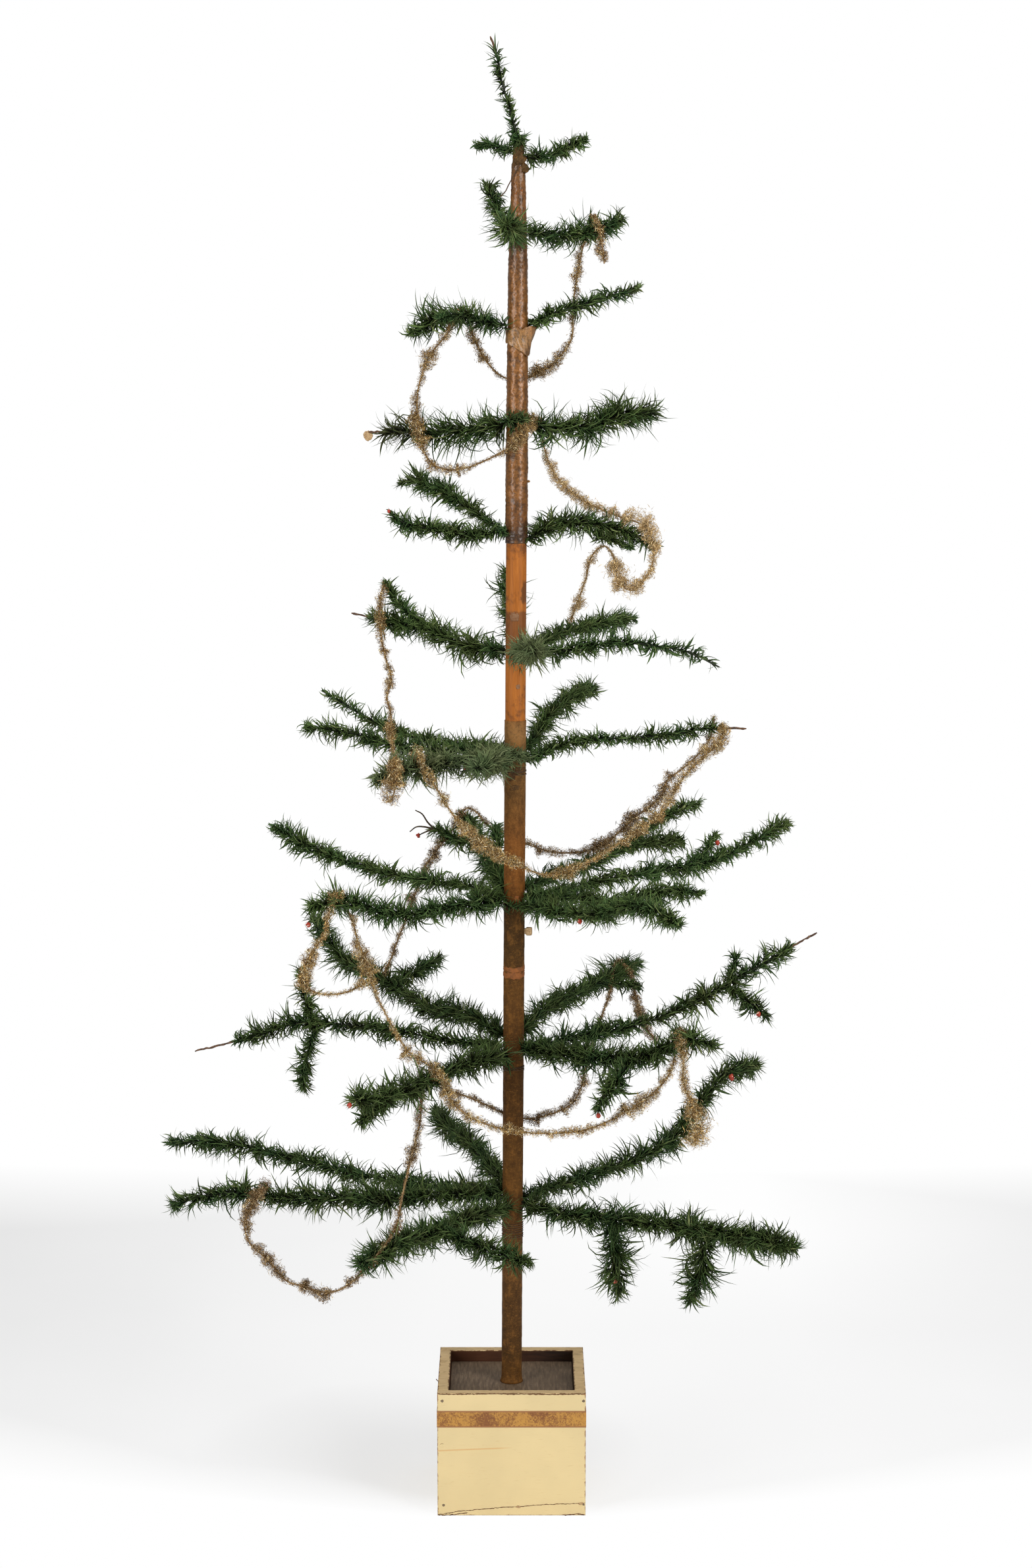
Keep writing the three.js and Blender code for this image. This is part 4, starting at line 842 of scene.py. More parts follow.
# Branches: name, turn in degrees, share of the tier's reach, root's lift in bindings, rises in shares of the
# reach, and options: barb, the barbs' length in millimetres; thin, the share of barbs left at the tip; bare,
# the share that is bare wire; root, how full it starts; tuft, how much longer its tip is; out, how far out each
# rise lies; twigs, its forks; across and fringe, loose feathers round the trunk and beside the wire.
branches = [
    ("tier1_left", 172, 0.64, 0.1, [0, 0.05, 0.1, 0.15, 0.09], dict(barb=11, root=1)),
    ("tier1_right", -8, 1, -0.1, [0, 0, 0.06, 0.17, 0.235], dict(barb=11.5, root=1)),
    ("tier2_back_left", 140, 0.4, 0.2, [0, 0.1, 0.62, 1.05], dict(barb=16, out=[0, 0.3, 0.7, 1])),
    ("tier2_front", 262, 0.7, 0, [0, 0.02, 0.04, 0.05], dict(barb=19, tuft=0.45)),
    ("tier2_right", -4, 1, 0, [0, -0.015, -0.01, 0.04, 0.14], dict(barb=16, root=1)),
    ("tier3_left", 188, 0.87, 0, [0, 0.045, 0.1, 0.04, -0.075],
     dict(barb=18, root=1, fringe=(0.42, 0.66, (0, -21, 0), 12))),
    ("tier3_right", 14, 1, 0, [0, 0.105, 0.165, 0.24, 0.3], dict(barb=13, thin=0.55)),
    ("tier4_left", 186, 1, 0, [0, -0.03, -0.045, -0.04, -0.04],
     dict(barb=27, thin=0.34, bare=0.12, root=1, disc=True)),
    ("tier4_right", 8, 0.95, 0, [0, -0.02, -0.005, 0.075, 0.085],
     dict(barb=23, root=1, across=(200, 335, 1118, 13, 1.1))),
    ("tier5_back_left", 150, 1, 0, [0, 0.075, 0.17, 0.25, 0.315, 0.35, 0.33], dict(barb=15)),
    ("tier5_front_left", 208, 1, 0.1, [0, -0.02, -0.02, 0, 0.035, 0.06, 0.15], dict(barb=15)),
    ("tier5_right", -4, 1, -0.2, [0, 0.11, 0.115, 0.06, -0.055], dict(barb=17, fringe=(0.5, 0.8, (0, 0, -13), 10))),
    ("tier6_left", 160, 0.86, 0, [0, 0.005, 0.04, 0.105, 0.13, 0.155, 0.18],
     dict(barb=17.5, bare=0.13, twigs=[(0.49, 5, 0.39, 28, 62)])),
    ("tier6_back", 97, 0.34, 0.2, [0, 0.2, 0.65, 1], dict(barb=17, out=[0, 0.35, 0.7, 1])),
    ("tier6_front", 281, 0.45, 0, [0, 0.02, 0.06, 0.12], dict(barb=20, tone="grey_green", tuft=0.55)),
    ("tier6_back_right", 46, 0.87, 0, [0, 0.035, 0.07, 0.095, 0.1, 0.115, 0.11], dict(barb=13)),
    ("tier6_right", -14, 1, 0, [0, 0, 0.03, 0.05, 0.04, 0.015, -0.055], dict(barb=13, thin=0.12)),
    ("tier7_back_left", 150, 1, 0.1, [0, 0, 0.005, 0.02, 0.065, 0.125, 0.2], dict(barb=13.5, thin=0.45)),
    ("tier7_left", 194, 0.92, 0, [0, 0.015, 0.025, 0.04, 0.085, 0.13, 0.15], dict(barb=14.5, thin=0.6)),
    ("tier7_front_left", 226, 0.83, -0.1, [0, 0, 0.005, 0.005, 0, 0.005, -0.03],
     dict(barb=20, tone="grey_green", root=1, across=(235, 318, 781, 17, 1.3))),
    ("tier7_front", 251, 0.5, -0.15, [0, 0.01, 0.02, 0.03], dict(barb=19, tone="grey_green", tuft=0.4, root=1)),
    ("tier7_back_right", 60, 0.72, 0.1, [0, 0.04, 0.15, 0.205, 0.245, 0.265, 0.265], dict(barb=15)),
    ("tier7_right", -6, 1, -0.3, [0, 0.075, 0.1, 0.11, 0.125, 0.155, 0.155], dict(barb=12.5, thin=0.6, bare=0.12)),
    ("tier8_left", 158, 0.95, 0, [0, 0.035, 0.045, 0.06, 0.095, 0.145, 0.215], dict(barb=14)),
    ("tier8_front_left", 214, 0.84, 0, [0, 0, -0.005, -0.02, 0.02, 0.075, 0.065],
     dict(barb=17, across=(225, 318, 626, 9, 0.6))),
    ("tier8_back", 110, 0.55, 0, [0, 0.1, 0.21, 0.31, 0.41],
     dict(barb=17, thin=0.9, twigs=[(0.6, 42, 0.38, 2, 26), (0.2, -6, 0.36, 58, 78)])),
    ("tier8_back_right", 45, 0.88, 0.3, [0, 0.025, 0.045, 0.075, 0.095, 0.095, 0.085],
     dict(barb=14, twigs=[(0.6, -15, 0.44, 38, 8)])),
    ("tier8_right", 10, 1, 0, [0, 0.03, 0.06, 0.085, 0.105, 0.165, 0.245],
     dict(barb=13, twigs=[(0.62, 15, 0.15, 42, 62)])),
    ("tier8_front_right", -28, 0.74, 0, [0, 0.025, 0.03, 0.035, 0.065, 0.105, 0.105], dict(barb=14)),
    ("tier8_front", -54, 0.94, -0.2, [0, 0.01, 0.02, 0.04, 0.09, 0.1, 0.065], dict(barb=15)),
    ("tier9_back_left", 136, 0.93, 0.3, [0, 0.045, 0.04, 0.075, 0.125, 0.16, 0.29],
     dict(barb=18, twigs=[(0.56, -96, 0.24, 8, 26)])),
    ("tier9_left", 178, 1, 0, [0, 0.02, 0.045, 0.065, 0.07, 0.02, -0.02],
     dict(barb=16, thin=0.6, bare=0.14, twigs=[(0.6, 12, 0.22, -72, -86), (0.61, -20, 0.18, 70, 86)])),
    ("tier9_front_left", 234, 0.8, -0.2, [0, 0.01, 0.01, 0, -0.015, -0.02, 0.01],
     dict(barb=18, twigs=[(0.74, -10, 0.2, -18, -32)])),
    ("tier9_back_right", 58, 0.8, 0.4, [0, 0.055, 0.08, 0.085, 0.1, 0.115, 0.12],
     dict(barb=16, twigs=[(0.66, -48, 0.17, -14, -4)])),
    ("tier9_right", 6, 0.96, 0, [0, 0.025, 0.055, 0.1, 0.18, 0.27, 0.36],
     dict(barb=16, thin=0.6, bare=0.1, twigs=[(0.66, -18, 0.18, -25, -42), (0.68, 20, 0.1, 65, 80)])),
    ("tier9_front_right", -40, 0.785, 0, [0, 0.005, 0.015, 0.03, 0.065, 0.15, 0.15],
     dict(barb=17, twigs=[(0.57, -90, 0.28, -28, -46)])),
    ("tier10_back_left", 163, 1, 0.2, [0, 0, 0.005, 0.025, 0.05, 0.075, 0.06], dict(barb=17, thin=0.8)),
    ("tier10_left", 200, 0.95, 0.1, [0, 0.02, 0.02, 0.04, 0.055, 0.085, 0.065], dict(barb=19, thin=0.8)),
    ("tier10_back", 112, 0.6, 0.2, [0, 0.03, 0.075, 0.105, 0.1, 0.11, 0.15], dict(barb=17.5)),
    ("tier10_front_left", 240, 0.77, -0.3, [0, 0.02, 0.035, 0.035, 0.05, 0.055, 0.045],
     dict(barb=19, twigs=[(0.48, 85, 0.38, -10, -4)])),
    ("tier10_back_right", 38, 0.89, 0, [0, 0.01, 0.025, 0.045, 0.105, 0.25, 0.27], dict(barb=17)),
    ("tier10_right", -28, 0.825, -0.1, [0, -0.02, -0.015, -0.01, -0.005, -0.01, -0.015],
     dict(barb=20, twig=1.2, fringe=(0.6, 1, (0, 0, -3), 21),
          twigs=[(0.33, 10, 0.25, -78, -88), (0.69, 208, 0.25, -88, -64)])),
]
DOWN_PER_METRE = 4300
LOCKS_PER_METRE = 680
BARB_SCALE = 1.28
BARB_ROOT = 0.6 * MM
TONES = {"green": GREEN, "grey_green": GREY_GREEN}


def trunk_shift(z):
    return TRUNK_LEAN * max(0, z - PLATFORM_TOP) / (TRUNK_TOP - PLATFORM_TOP)


def trunk_radius(z):
    share = (z - TRUNK_FOOT) / (TRUNK_TOP - TRUNK_FOOT)
    return float(np.interp(share, TRUNK_HEIGHT_SHARES, TRUNK_RADII))


def trunk_surface(z):
    wrapped = z < LOWER_WRAP[1] or UPPER_WRAP[0] < z < UPPER_WRAP[1]
    return trunk_radius(z) + (WRAP_BUILD if wrapped else 0)


def heading(turn):
    return np.array([math.cos(math.radians(turn)), math.sin(math.radians(turn)), 0.0])


def branch_path(name, turn, reach_share, lift, rises, out=None):
    height, tier_reach = tiers[int(name[4:name.index("_")])]
    root_height = height * MM + lift * BINDING
    reach = reach_share * tier_reach * MM
    root = trunk_surface(root_height) + SEAT_GAP
    outs = out or np.linspace(0, 1, len(rises))
    points = []
    for share, rise in zip(outs, rises):
        point = heading(turn) * (root + (reach - root) * share)
        point[0] += trunk_shift(root_height)
        point[2] = root_height + rise * reach
        points.append(point)
    return Path(points), reach


def twig_path(path, reach, branch_turn, at, turn, length_share, pitch, end_pitch):
    length = length_share * reach
    points = [path.at(at * path.length)[0]]
    steps = 4
    for step in range(steps):
        angle = math.radians(pitch + (end_pitch - pitch) * (step + 0.5) / steps)
        move = heading(branch_turn + turn) * math.cos(angle) + UP * math.sin(angle)
        points.append(points[-1] + move * length / steps)
    return Path(points)


def barbs(path, barb, thin, bare, rng, root=0.0, tuft=0.0, dense=1.0):
    """Feather barbs wound round a wire: a short even down, and longer curled locks."""
    feathered = path.length * (1 - bare) - (0 if bare else 4 * MM)
    reach = barb * BARB_SCALE * MM
    down = int(DOWN_PER_METRE * feathered * dense)
    locks = int(LOCKS_PER_METRE * feathered * dense)
    each = rng.integers(3, 9, locks)
    group = np.repeat(np.arange(locks), each)
    count = len(group)
    lock_s, lock_turn = rng.random(locks) * feathered, rng.random(locks) * 2 * math.pi
    off, twist = scatter(count, 1.9 * MM, rng), scatter(count, 0.45, rng)
    shared = lambda spread: scatter(locks, spread, rng)[group]
    own = lambda spread, n=count: scatter(n, spread, rng)
    left_at = lambda s: 1 + (thin - 1) * (s / feathered) ** 1.2
    long_kept = rng.random(count) < left_at(lock_s[group])
    down_s = rng.random(down) * feathered
    down_kept = rng.random(down) < left_at(down_s)
    knots = max(2, int(feathered / (20 * MM)))
    swells = np.clip(1 + rng.normal(0, 0.22, knots), 0.6, 1.5)
    swell = lambda s: np.interp(s, np.linspace(0, feathered, knots), swells)
    long_kept &= rng.random(count) < swell(lock_s[group])

    def grown(kind, s, turn, size, lean, curl, sway, width, kept):
        s = np.clip(s, 0.3 * MM, feathered)
        to_tip = np.clip((feathered - s) / reach, 0, 1)
        from_root = np.clip(root + (1 - root) * s / (30 * MM), 0, 1)
        length = reach * size * (0.6 + 0.4 * from_root) * (0.66 + 0.34 * to_tip)
        length = length * (1 + tuft * (1 - to_tip)) * (0.4 + 0.6 * swell(s))
        angle = np.radians(30 + 28 * to_tip) + lean
        roll = rng.uniform(0, math.pi, len(s))
        tangent = path.tangent(s[kept])
        outward = outward_at(tangent, turn[kept])
        base = path.at(s[kept]) + outward * BARB_ROOT
        shape = [values[kept] for values in (length, width, angle, curl, sway, roll)]
        return barb_solids(kind, base, tangent, outward, *shape)

    long = grown(
        LONG_BARB, lock_s[group] + off, lock_turn[group] + twist,
        np.clip(1 + shared(0.17) + own(0.13), 0.4, 1.4) * np.where(rng.random(count) < 0.03, 1.3, 1),
        shared(0.4) + own(0.24) + 0.4 * off / reach,
        shared(1.7) + own(0.9) + 0.1, -0.45 * twist + shared(1.15) + own(0.65),
        rng.uniform(1.0, 1.9, count) * np.where(rng.random(count) < 0.14, 1.7, 1) * MM, long_kept,
    )
    short = grown(
        SHORT_BARB, down_s, rng.random(down) * 2 * math.pi, np.clip(0.7 + own(0.14, down), 0.3, 1),
        own(0.34, down), own(0.8, down), own(0.6, down), rng.uniform(1.1, 2.0, down) * MM, down_kept,
    )
    return [long, short]


def wire(path, bare, rng):
    """The wound wire under the barbs, knobbly where it is bare, and how bare it is at each point."""
    count = max(6, int(path.length / (3 * MM)))
    s = np.linspace(0, path.length, count)
    radius = np.full(count, 1.0 * MM) + rng.normal(0, 0.08 * MM, count)
    tip = s > path.length * (1 - bare)
    radius[tip] = 1.15 * MM + rng.normal(0, 0.18 * MM, tip.sum())
    radius[-1] = 0.6 * MM
    points = path.at(s)
    points[tip] += rng.normal(0, 0.25 * MM, (tip.sum(), 3))
    sides = 6
    body, faces = tube(points, np.maximum(radius, 0.5 * MM), sides)
    return body, faces, np.concatenate([np.repeat(tip, sides), [False, tip[-1]]]).astype(float)


def tile_cells(groups):
    """Several maps side by side in one square."""
    count = math.ceil(math.sqrt(len(groups)))
    tiles = [(c + np.array(divmod(k, count))) / count for k, c in enumerate(groups)]
    return np.concatenate(tiles)


def dress(name, body, pieces, tone):
    """The barbs and the wires of one node, as two pieces."""
    clusters = [cluster for grown, _ in pieces for cluster in grown]
    points, faces = join([(p, f) for p, f, _, _ in clusters])
    along = np.concatenate([a for _, _, a, _ in clusters])
    cells = tile_cells([c for _, _, _, c in clusters])
    feathers = add_mesh(f"barbs_{name}", points, faces, tone, along=along, cells=cells)
    body_points, body_faces = join([(p, f) for _, (p, f, _) in pieces])
    bareness = np.concatenate([bare for _, (_, _, bare) in pieces])
    wires = add_mesh(f"wire_{name}", body_points, body_faces, WIRE, along=bareness)
    for piece in (feathers, wires):
        attach(piece, body)
    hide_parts(name)


body_of_node = {node: body for body, nodes in frame["record"]["behaviour"]["bodies"].items() for node in nodes}


def make_branches():
    for index, (name, turn, reach_share, lift, rises, look) in enumerate(branches):
        rng = np.random.default_rng(index)
        path, reach = branch_path(name, turn, reach_share, lift, rises, look.get("out"))
        bare, thin, barb = look.get("bare", 0.0), look.get("thin", 1.0), look["barb"]
        grown = barbs(path, barb, thin, bare, rng, look.get("root", 0.4), look.get("tuft", 0.0))
        pieces = [(grown, wire(path, bare, rng))]
        if "across" in look:
            start, end, level, size, dense = look["across"]
            round_front = Path([on_trunk(level * MM, angle, 1.5 * MM) for angle in np.linspace(start, end, 5)])
            grown += barbs(round_front, size, 1, 0.01, rng, root=1, dense=dense)
        if "fringe" in look:
            start, end, aside, size = look["fringe"]
            beside = Path(path.at(np.linspace(start, end, 5) * path.length) + np.array(aside) * MM)
            grown += barbs(beside, size, 1, 0.01, rng, root=1, dense=0.8)
        for twig in look.get("twigs", ()):
            side = twig_path(path, reach, turn, *twig)
            pieces.append((barbs(side, barb * look.get("twig", 0.9), 0.9, 0.0, rng), wire(side, 0.0, rng)))
        dress(name, body_of_node[name], pieces, TONES[look.get("tone", "green")])
        if look.get("disc"):
            radii = (4.4 * MM, 1.2 * MM, 4.8 * MM)
            lump(f"disc_{name}", path.points[-1] - UP * 4 * MM, radii, STUB, 90, body_of_node[name])


# Berries: branch, where it sits in millimetres, radius
berries = [
    ("tier8_front_left", (-200, -137, 630), 2.6), ("tier8_back", (-99, 119, 678), 2.4),
    ("tier8_right", (213, 34, 684), 2.6), ("tier8_front", (68, -103, 627), 2.6),
    ("tier9_front_left", (-156, -226, 470), 2.6), ("tier9_right", (255, 3, 510), 2.6),
    ("tier10_back_right", (239, 172, 403), 3.6), ("tier10_right", (106, -66, 246), 2.2),
    ("tier9_front_right", (86, -146, 440), 2.6), ("tier7_front_left", (-46, -62, 776), 2.6),
    ("tier5_front_left", (-121, -68, 1032), 1.8),
]


def make_berries():
    for index, (branch, place, radius) in enumerate(berries):
        size = np.array([radius, radius, radius * 1.15]) * 0.85 * MM
        centre = np.array(place) * MM
        lump(f"berry_{index + 1}", centre, size, BEAD, 80 + index, body_of_node[branch])


# Bare twigs that stand out past the barbs: branch, and points in millimetres
bare_twigs = [
    ("tier8_back", [(-81, 120, 684), (-89, 120, 692), (-95, 120, 701), (-102, 119, 705)]),
    ("tier8_back", [(-81, 120, 684), (-92, 120, 687), (-101, 120, 687), (-108, 119, 682)]),
    ("tier8_back", [(-81, 120, 684), (-88, 119, 683), (-93, 119, 681), (-99, 119, 678)]),
]


def make_bare_twigs():
    for index, (branch, route) in enumerate(bare_twigs):
        points = Path(np.array(route) * MM, 6).points
        body, faces = tube(points, np.linspace(1.2, 0.6, len(points)) * MM)
        piece = add_mesh(f"bare_twig_{index + 1}", body, faces, WIRE, along=np.full(len(body), 0.4))
        attach(piece, body_of_node[branch])


LEADER_HEIGHT = 108 * MM
LEADER_BARE = 0.14


def make_leader():
    lean_shares = (0, 0, 0.045, 0.09, 0.15, 0.2, 0.26)
    rise_shares = (0, 0.06, 0.22, 0.38, 0.58, 0.82, 1)
    foot = TRUNK_TOP + SEAT_GAP
    path = Path([
        (trunk_shift(TRUNK_TOP) - lean * LEADER_HEIGHT, 0, foot + rise * LEADER_HEIGHT)
        for lean, rise in zip(lean_shares, rise_shares)
    ])
    rng = np.random.default_rng(77)
    grown = barbs(path, 10, 0.7, LEADER_BARE, rng, root=0.1, tuft=0.5, dense=0.55)
    crown = Path([(trunk_shift(TRUNK_TOP), 0, foot + up * MM) for up in (12, 8, 2)])
    grown += barbs(crown, 14, 1, 0.01, rng, root=1, tuft=0.6, dense=5)
    dress("leader", "trunk", [(grown, wire(path, LEADER_BARE, rng))], GREEN)


# Trunk papers


def on_trunk(z, angle, out=0.0):
    """A point of the trunk's surface; the camera looks at angle 270."""
    return heading(angle) * (trunk_surface(z) + out) + np.array([trunk_shift(z), 0, z])


def wrap_piece(name, low, high, material, step, pitch, depth, wrinkle, finest, seed, flare=0.0):
    """A paper strip wound up the dowel: a helical overlap of a depth, and wrinkles down to the finest wave."""
    rng = np.random.default_rng(seed)
    around, rows = 72, int((high - low) / step)
    z = np.linspace(low, high, rows + 1)
    waves = [
        (rng.integers(-13, 14), rng.uniform(60, finest), rng.random() * 6.3, rng.uniform(0.4, 1))
        for _ in range(34)
    ]
    zz, tt = np.meshgrid(z, circle(around), indexing="ij")
    relief = sum(w[3] * np.sin(w[0] * tt + w[1] * zz + w[2]) for w in waves) / sum(w[3] for w in waves)
    phase = ((zz - low) / pitch + tt / (2 * math.pi)) % 1
    overlap = np.clip(phase / 0.06, 0, 1) * (1 - 0.6 * phase)
    radius = np.array([trunk_radius(v) for v in z])[:, None] + PAPER_LIFT
    radius = radius + depth * overlap + wrinkle * relief + flare * np.exp(-(zz - low) / (3 * MM))
    shift = np.array([trunk_shift(v) for v in z])[:, None]
    points = [
        np.stack([shift + r * np.cos(tt), r * np.sin(tt), zz], axis=2).reshape(-1, 3)
        for r in (radius, radius - PAPER_THICK)
    ]
    piece = add_mesh(f"paper_{name}", np.vstack(points), sheet_quads(rows + 1, around), material)
    attach(piece, "trunk")
    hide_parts(name)


def patch(name, z, angle, width, height, material, seed, lift=0.25 * MM):
    """A torn scrap of paper laid round the trunk, with a ragged outline."""
    rng = np.random.default_rng(seed)
    rings, around = 5, 40
    thick = 0.3 * MM
    edge = 1 + 0.12 * np.repeat(rng.normal(0, 1, around // 2), 2) + rng.normal(0, 0.05, around)
    turns = circle(around)
    square = (np.abs(np.cos(turns)) ** 4 + np.abs(np.sin(turns)) ** 4) ** -0.25
    points = []
    for out in (lift, lift - thick):
        points.append(on_trunk(z, angle, out))
        for k in range(1, rings + 1):
            share = k / rings * edge * square
            for across, up in zip(np.cos(turns) * share * width / 2, np.sin(turns) * share * height / 2):
                edge_drop = thick * 0.6 if k == rings and out == lift else 0
                points.append(on_trunk(z + up, angle + math.degrees(across / trunk_surface(z)), out - edge_drop))
    half = 1 + rings * around
    skin = ring_quads(rings, around, 1)
    rim = np.arange(half - around, half)
    ahead = np.roll(rim, -1)
    faces = np.vstack([
        fan(0, 1, around), halves(skin), halves(skin[:, ::-1]) + half, fan(half, half + 1, around)[:, ::-1],
        halves(np.stack([rim, rim + half, ahead + half, ahead], axis=1)),
    ])
    attach(add_mesh(name, points, faces, material), "trunk")


def collar():
    """The torn end of the glossy paper at the third tier, standing out at the right."""
    rng = np.random.default_rng(9)
    around, rows = 90, 22
    turns = np.linspace(-178, 104, around)
    low_edge = np.interp(
        turns, (-178, -140, -104, -60, -38, 0, 104), (1.1975, 1.195, 1.1917, 1.186, 1.1825, 1.185, 1.19)
    )
    waves = [(rng.uniform(2, 16), rng.uniform(2, 14), rng.random() * 6.3) for _ in range(9)]
    points = []
    for inner in (0, 1):
        for k in range(rows + 1):
            up = k / rows
            for turn, low in zip(turns, low_edge):
                to_right = max(0.0, math.cos(math.radians(turn - 4))) ** 1.4
                top = 1.2125 + 0.0012 * math.sin(turn * 0.11) - 0.002 * (1 - to_right)
                z = low + (top - low) * up
                creases = sum(math.sin(w[0] * math.radians(turn) + w[1] * up + w[2]) for w in waves) / len(waves)
                out = 1.7 * MM + 7.9 * MM * to_right * up**1.5 + 1.1 * MM * creases
                if k in (0, rows):
                    z += rng.normal(0, 0.4 * MM)
                points.append(on_trunk(z, turn, out - inner * 0.45 * MM))
    attach(add_mesh("torn_collar", points, sheet_quads(rows + 1, around, False), COLLAR_PAPER), "trunk")


def lump(name, centre, radii, material, seed, body="trunk"):
    """A small irregular knob, berry or disc."""
    rng = np.random.default_rng(seed)
    rows, around = 14, 22
    waves = [
        (rng.integers(1, 5), rng.integers(1, 6), rng.random() * 6.3, rng.uniform(0.03, 0.09)) for _ in range(6)
    ]
    points = []
    for k in range(rows + 1):
        tilt = math.pi * k / rows
        for turn in circle(around):
            swell = 1 + sum(w[3] * math.sin(w[0] * turn + w[1] * tilt + w[2]) for w in waves)
            ridge = 1 + 0.035 * math.sin(9 * tilt + turn)
            shape = np.array([math.sin(tilt) * math.cos(turn), math.sin(tilt) * math.sin(turn), math.cos(tilt)])
            points.append(np.array(centre) + shape * np.array(radii) * swell * ridge)
    attach(add_mesh(name, points, ring_quads(rows + 1, around), material), body)


def peg(name, z, angle, length, width, height, material, seed):
    """A broken stub that stands out of the trunk, with worn edges."""
    rng = np.random.default_rng(seed)
    side = np.cross(UP, heading(angle))
    rings = ((-0.5, 0.5), (0.0, 0.62), (0.12, 0.72), (0.3, 0.98), (0.85, 1.0), (0.97, 0.9), (1.0, 0.72))
    around = 16
    turns = circle(around)
    square = (np.abs(np.cos(turns)) ** 5 + np.abs(np.sin(turns)) ** 5) ** -0.2
    points = []
    for along, size in rings:
        foot = on_trunk(z, angle, along * length)
        for turn, corner in zip(turns, square):
            bump = corner * size * rng.uniform(0.95, 1.04)
            points.append(foot + (side * math.cos(turn) * width + UP * math.sin(turn) * height) / 2 * bump)
    count = len(points)
    last = count - around
    points += [np.mean(points[:around], axis=0), np.mean(points[last:], axis=0)]
    skin = halves(flipped(ring_quads(len(rings), around)))
    faces = np.vstack([skin, fan(count, 0, around)[:, ::-1], fan(count + 1, last, around)])
    attach(add_mesh(name, points, faces, material, False), "trunk")


def binding(name, z, turns, pitch, gauge, seed):
    """Wire wound round the trunk where a tier is tied on."""
    rng = np.random.default_rng(seed)
    steps = int(turns * 28)
    t = np.linspace(0, turns, steps)
    wobble = np.interp(t, np.linspace(0, turns, 12), rng.normal(0, 0.5 * MM, 12))
    points = [on_trunk(z + pitch * k + w, 360 * k, gauge * 0.9) for k, w in zip(t, wobble)]
    attach(add_mesh(name, *tube(points, gauge), BINDING_WIRE), "trunk")


# Scraps on the trunk: height, angle, width, height of the scrap, material
scraps = [
    (1.346, 296, 3.0, 2.4, "orange"), (1.343, 252, 1.8, 1.8, "orange"), (1.311, 308, 3.4, 3.0, "orange"),
    (0.922, 262, 9.0, 9.0, "grey"), (0.851, 284, 4.0, 4.4, "grey"),
    (0.633, 284, 5.5, 6.5, "orange"), (0.556, 270, 62.0, 12.5, "orange"),
    (0.766, 300, 16.0, 8.0, "knob"), (0.76, 236, 12.0, 9.0, "knob"),
    (0.748, 268, 9.0, 5.0, "knob"),
]


# Wires that tie the tiers on: height, turns, pitch in millimetres
bindings = [(0.274, 7, 2.4), (0.452, 3, 1.6), (0.622, 3, 1.5), (0.76, 3, 1.6), (1.0, 3, 1.6), (1.289, 2, 1.4)]


def make_trunk():
    recolour("trunk_dowel", DOWEL)
    wrap_piece(
        "upper_wrap", *UPPER_WRAP, GLOSSY_WRAP,
        step=1 * MM, pitch=34 * MM, depth=0.45 * MM, wrinkle=1.15 * MM, finest=1500, seed=5,
    )
    wrap_piece(
        "lower_wrap", *LOWER_WRAP, MATTE_WRAP,
        step=2 * MM, pitch=46 * MM, depth=0.25 * MM, wrinkle=0.35 * MM, finest=700, seed=6, flare=1.6 * MM,
    )
    collar()
    papers = {"orange": ORANGE_PATCH, "grey": GREY_PATCH, "knob": KNOB}
    for index, (z, angle, width, height, paper) in enumerate(scraps):
        patch(f"scrap_{index + 1}", z, angle, width * MM, height * MM, papers[paper], 40 + index)
    patch("top_paper", 1.379, 262, 44 * MM, 18 * MM, KNOB, 35, 0.4 * MM)
    lump("top_knob", on_trunk(1.377, 288, -1.5 * MM), (5.8 * MM, 5 * MM, 6.6 * MM), KNOB, 31)
    lump("side_knob", on_trunk(1.368, 325, 0.6 * MM), (3.8 * MM, 3.6 * MM, 4.8 * MM), KNOB, 32)
    lump("paper_tag", on_trunk(1.058, 2, 0.6 * MM), (1.6 * MM, 1.2 * MM, 1.2 * MM), PALE_PAPER, 33)
    peg("stub_peg", 0.598, 352, 7.5 * MM, 6 * MM, 8.6 * MM, STUB, 34)
    wire_points = [on_trunk(1.372, 285, 1 * MM), on_trunk(1.367, 262, 1.4 * MM), on_trunk(1.36, 235, 1.6 * MM)]
    wire_points += [wire_points[-1] + np.array(step) * MM for step in ((-5, -1, -9), (-8, -2, -15), (-13, -2, -20))]
    attach(add_mesh("loose_wire", *tube(Path(wire_points).points, 0.55 * MM), BINDING_WIRE), "trunk")
    for index, (z, turns, pitch) in enumerate(bindings):
        binding(f"binding_{index + 1}", z, turns, pitch * MM, 0.33 * MM, 50 + index)


# Box


def nail(name, x, z, radius, material):
    """A sunk round head with a raised rim of paint, on the front board."""
    profile = ((0, 0.1), (0.55, 0.12), (0.8, 0.2), (0.95, 0.36), (1.1, 0.3), (1.3, 0.05), (1.34, -0.25))
    around = 20
    points = []
    for out, up in profile:
        for turn in circle(around):
            reach = radius * max(out, 0.01) * (1 + 0.06 * math.sin(3 * turn + x * 900))
            points.append((x + reach * math.cos(turn), FRONT - up * MM * 0.8, z + reach * math.sin(turn)))
    count = len(points)
    points.append((x, FRONT + 0.3 * MM, z))
    head = [(0, j, j + 1) for j in range(1, around - 1)]
    skin = halves(ring_quads(len(profile), around))
    faces = np.vstack([skin, fan(count, count - around, around)[:, ::-1], head])
    attach(add_mesh(name, points, faces, material), "base")


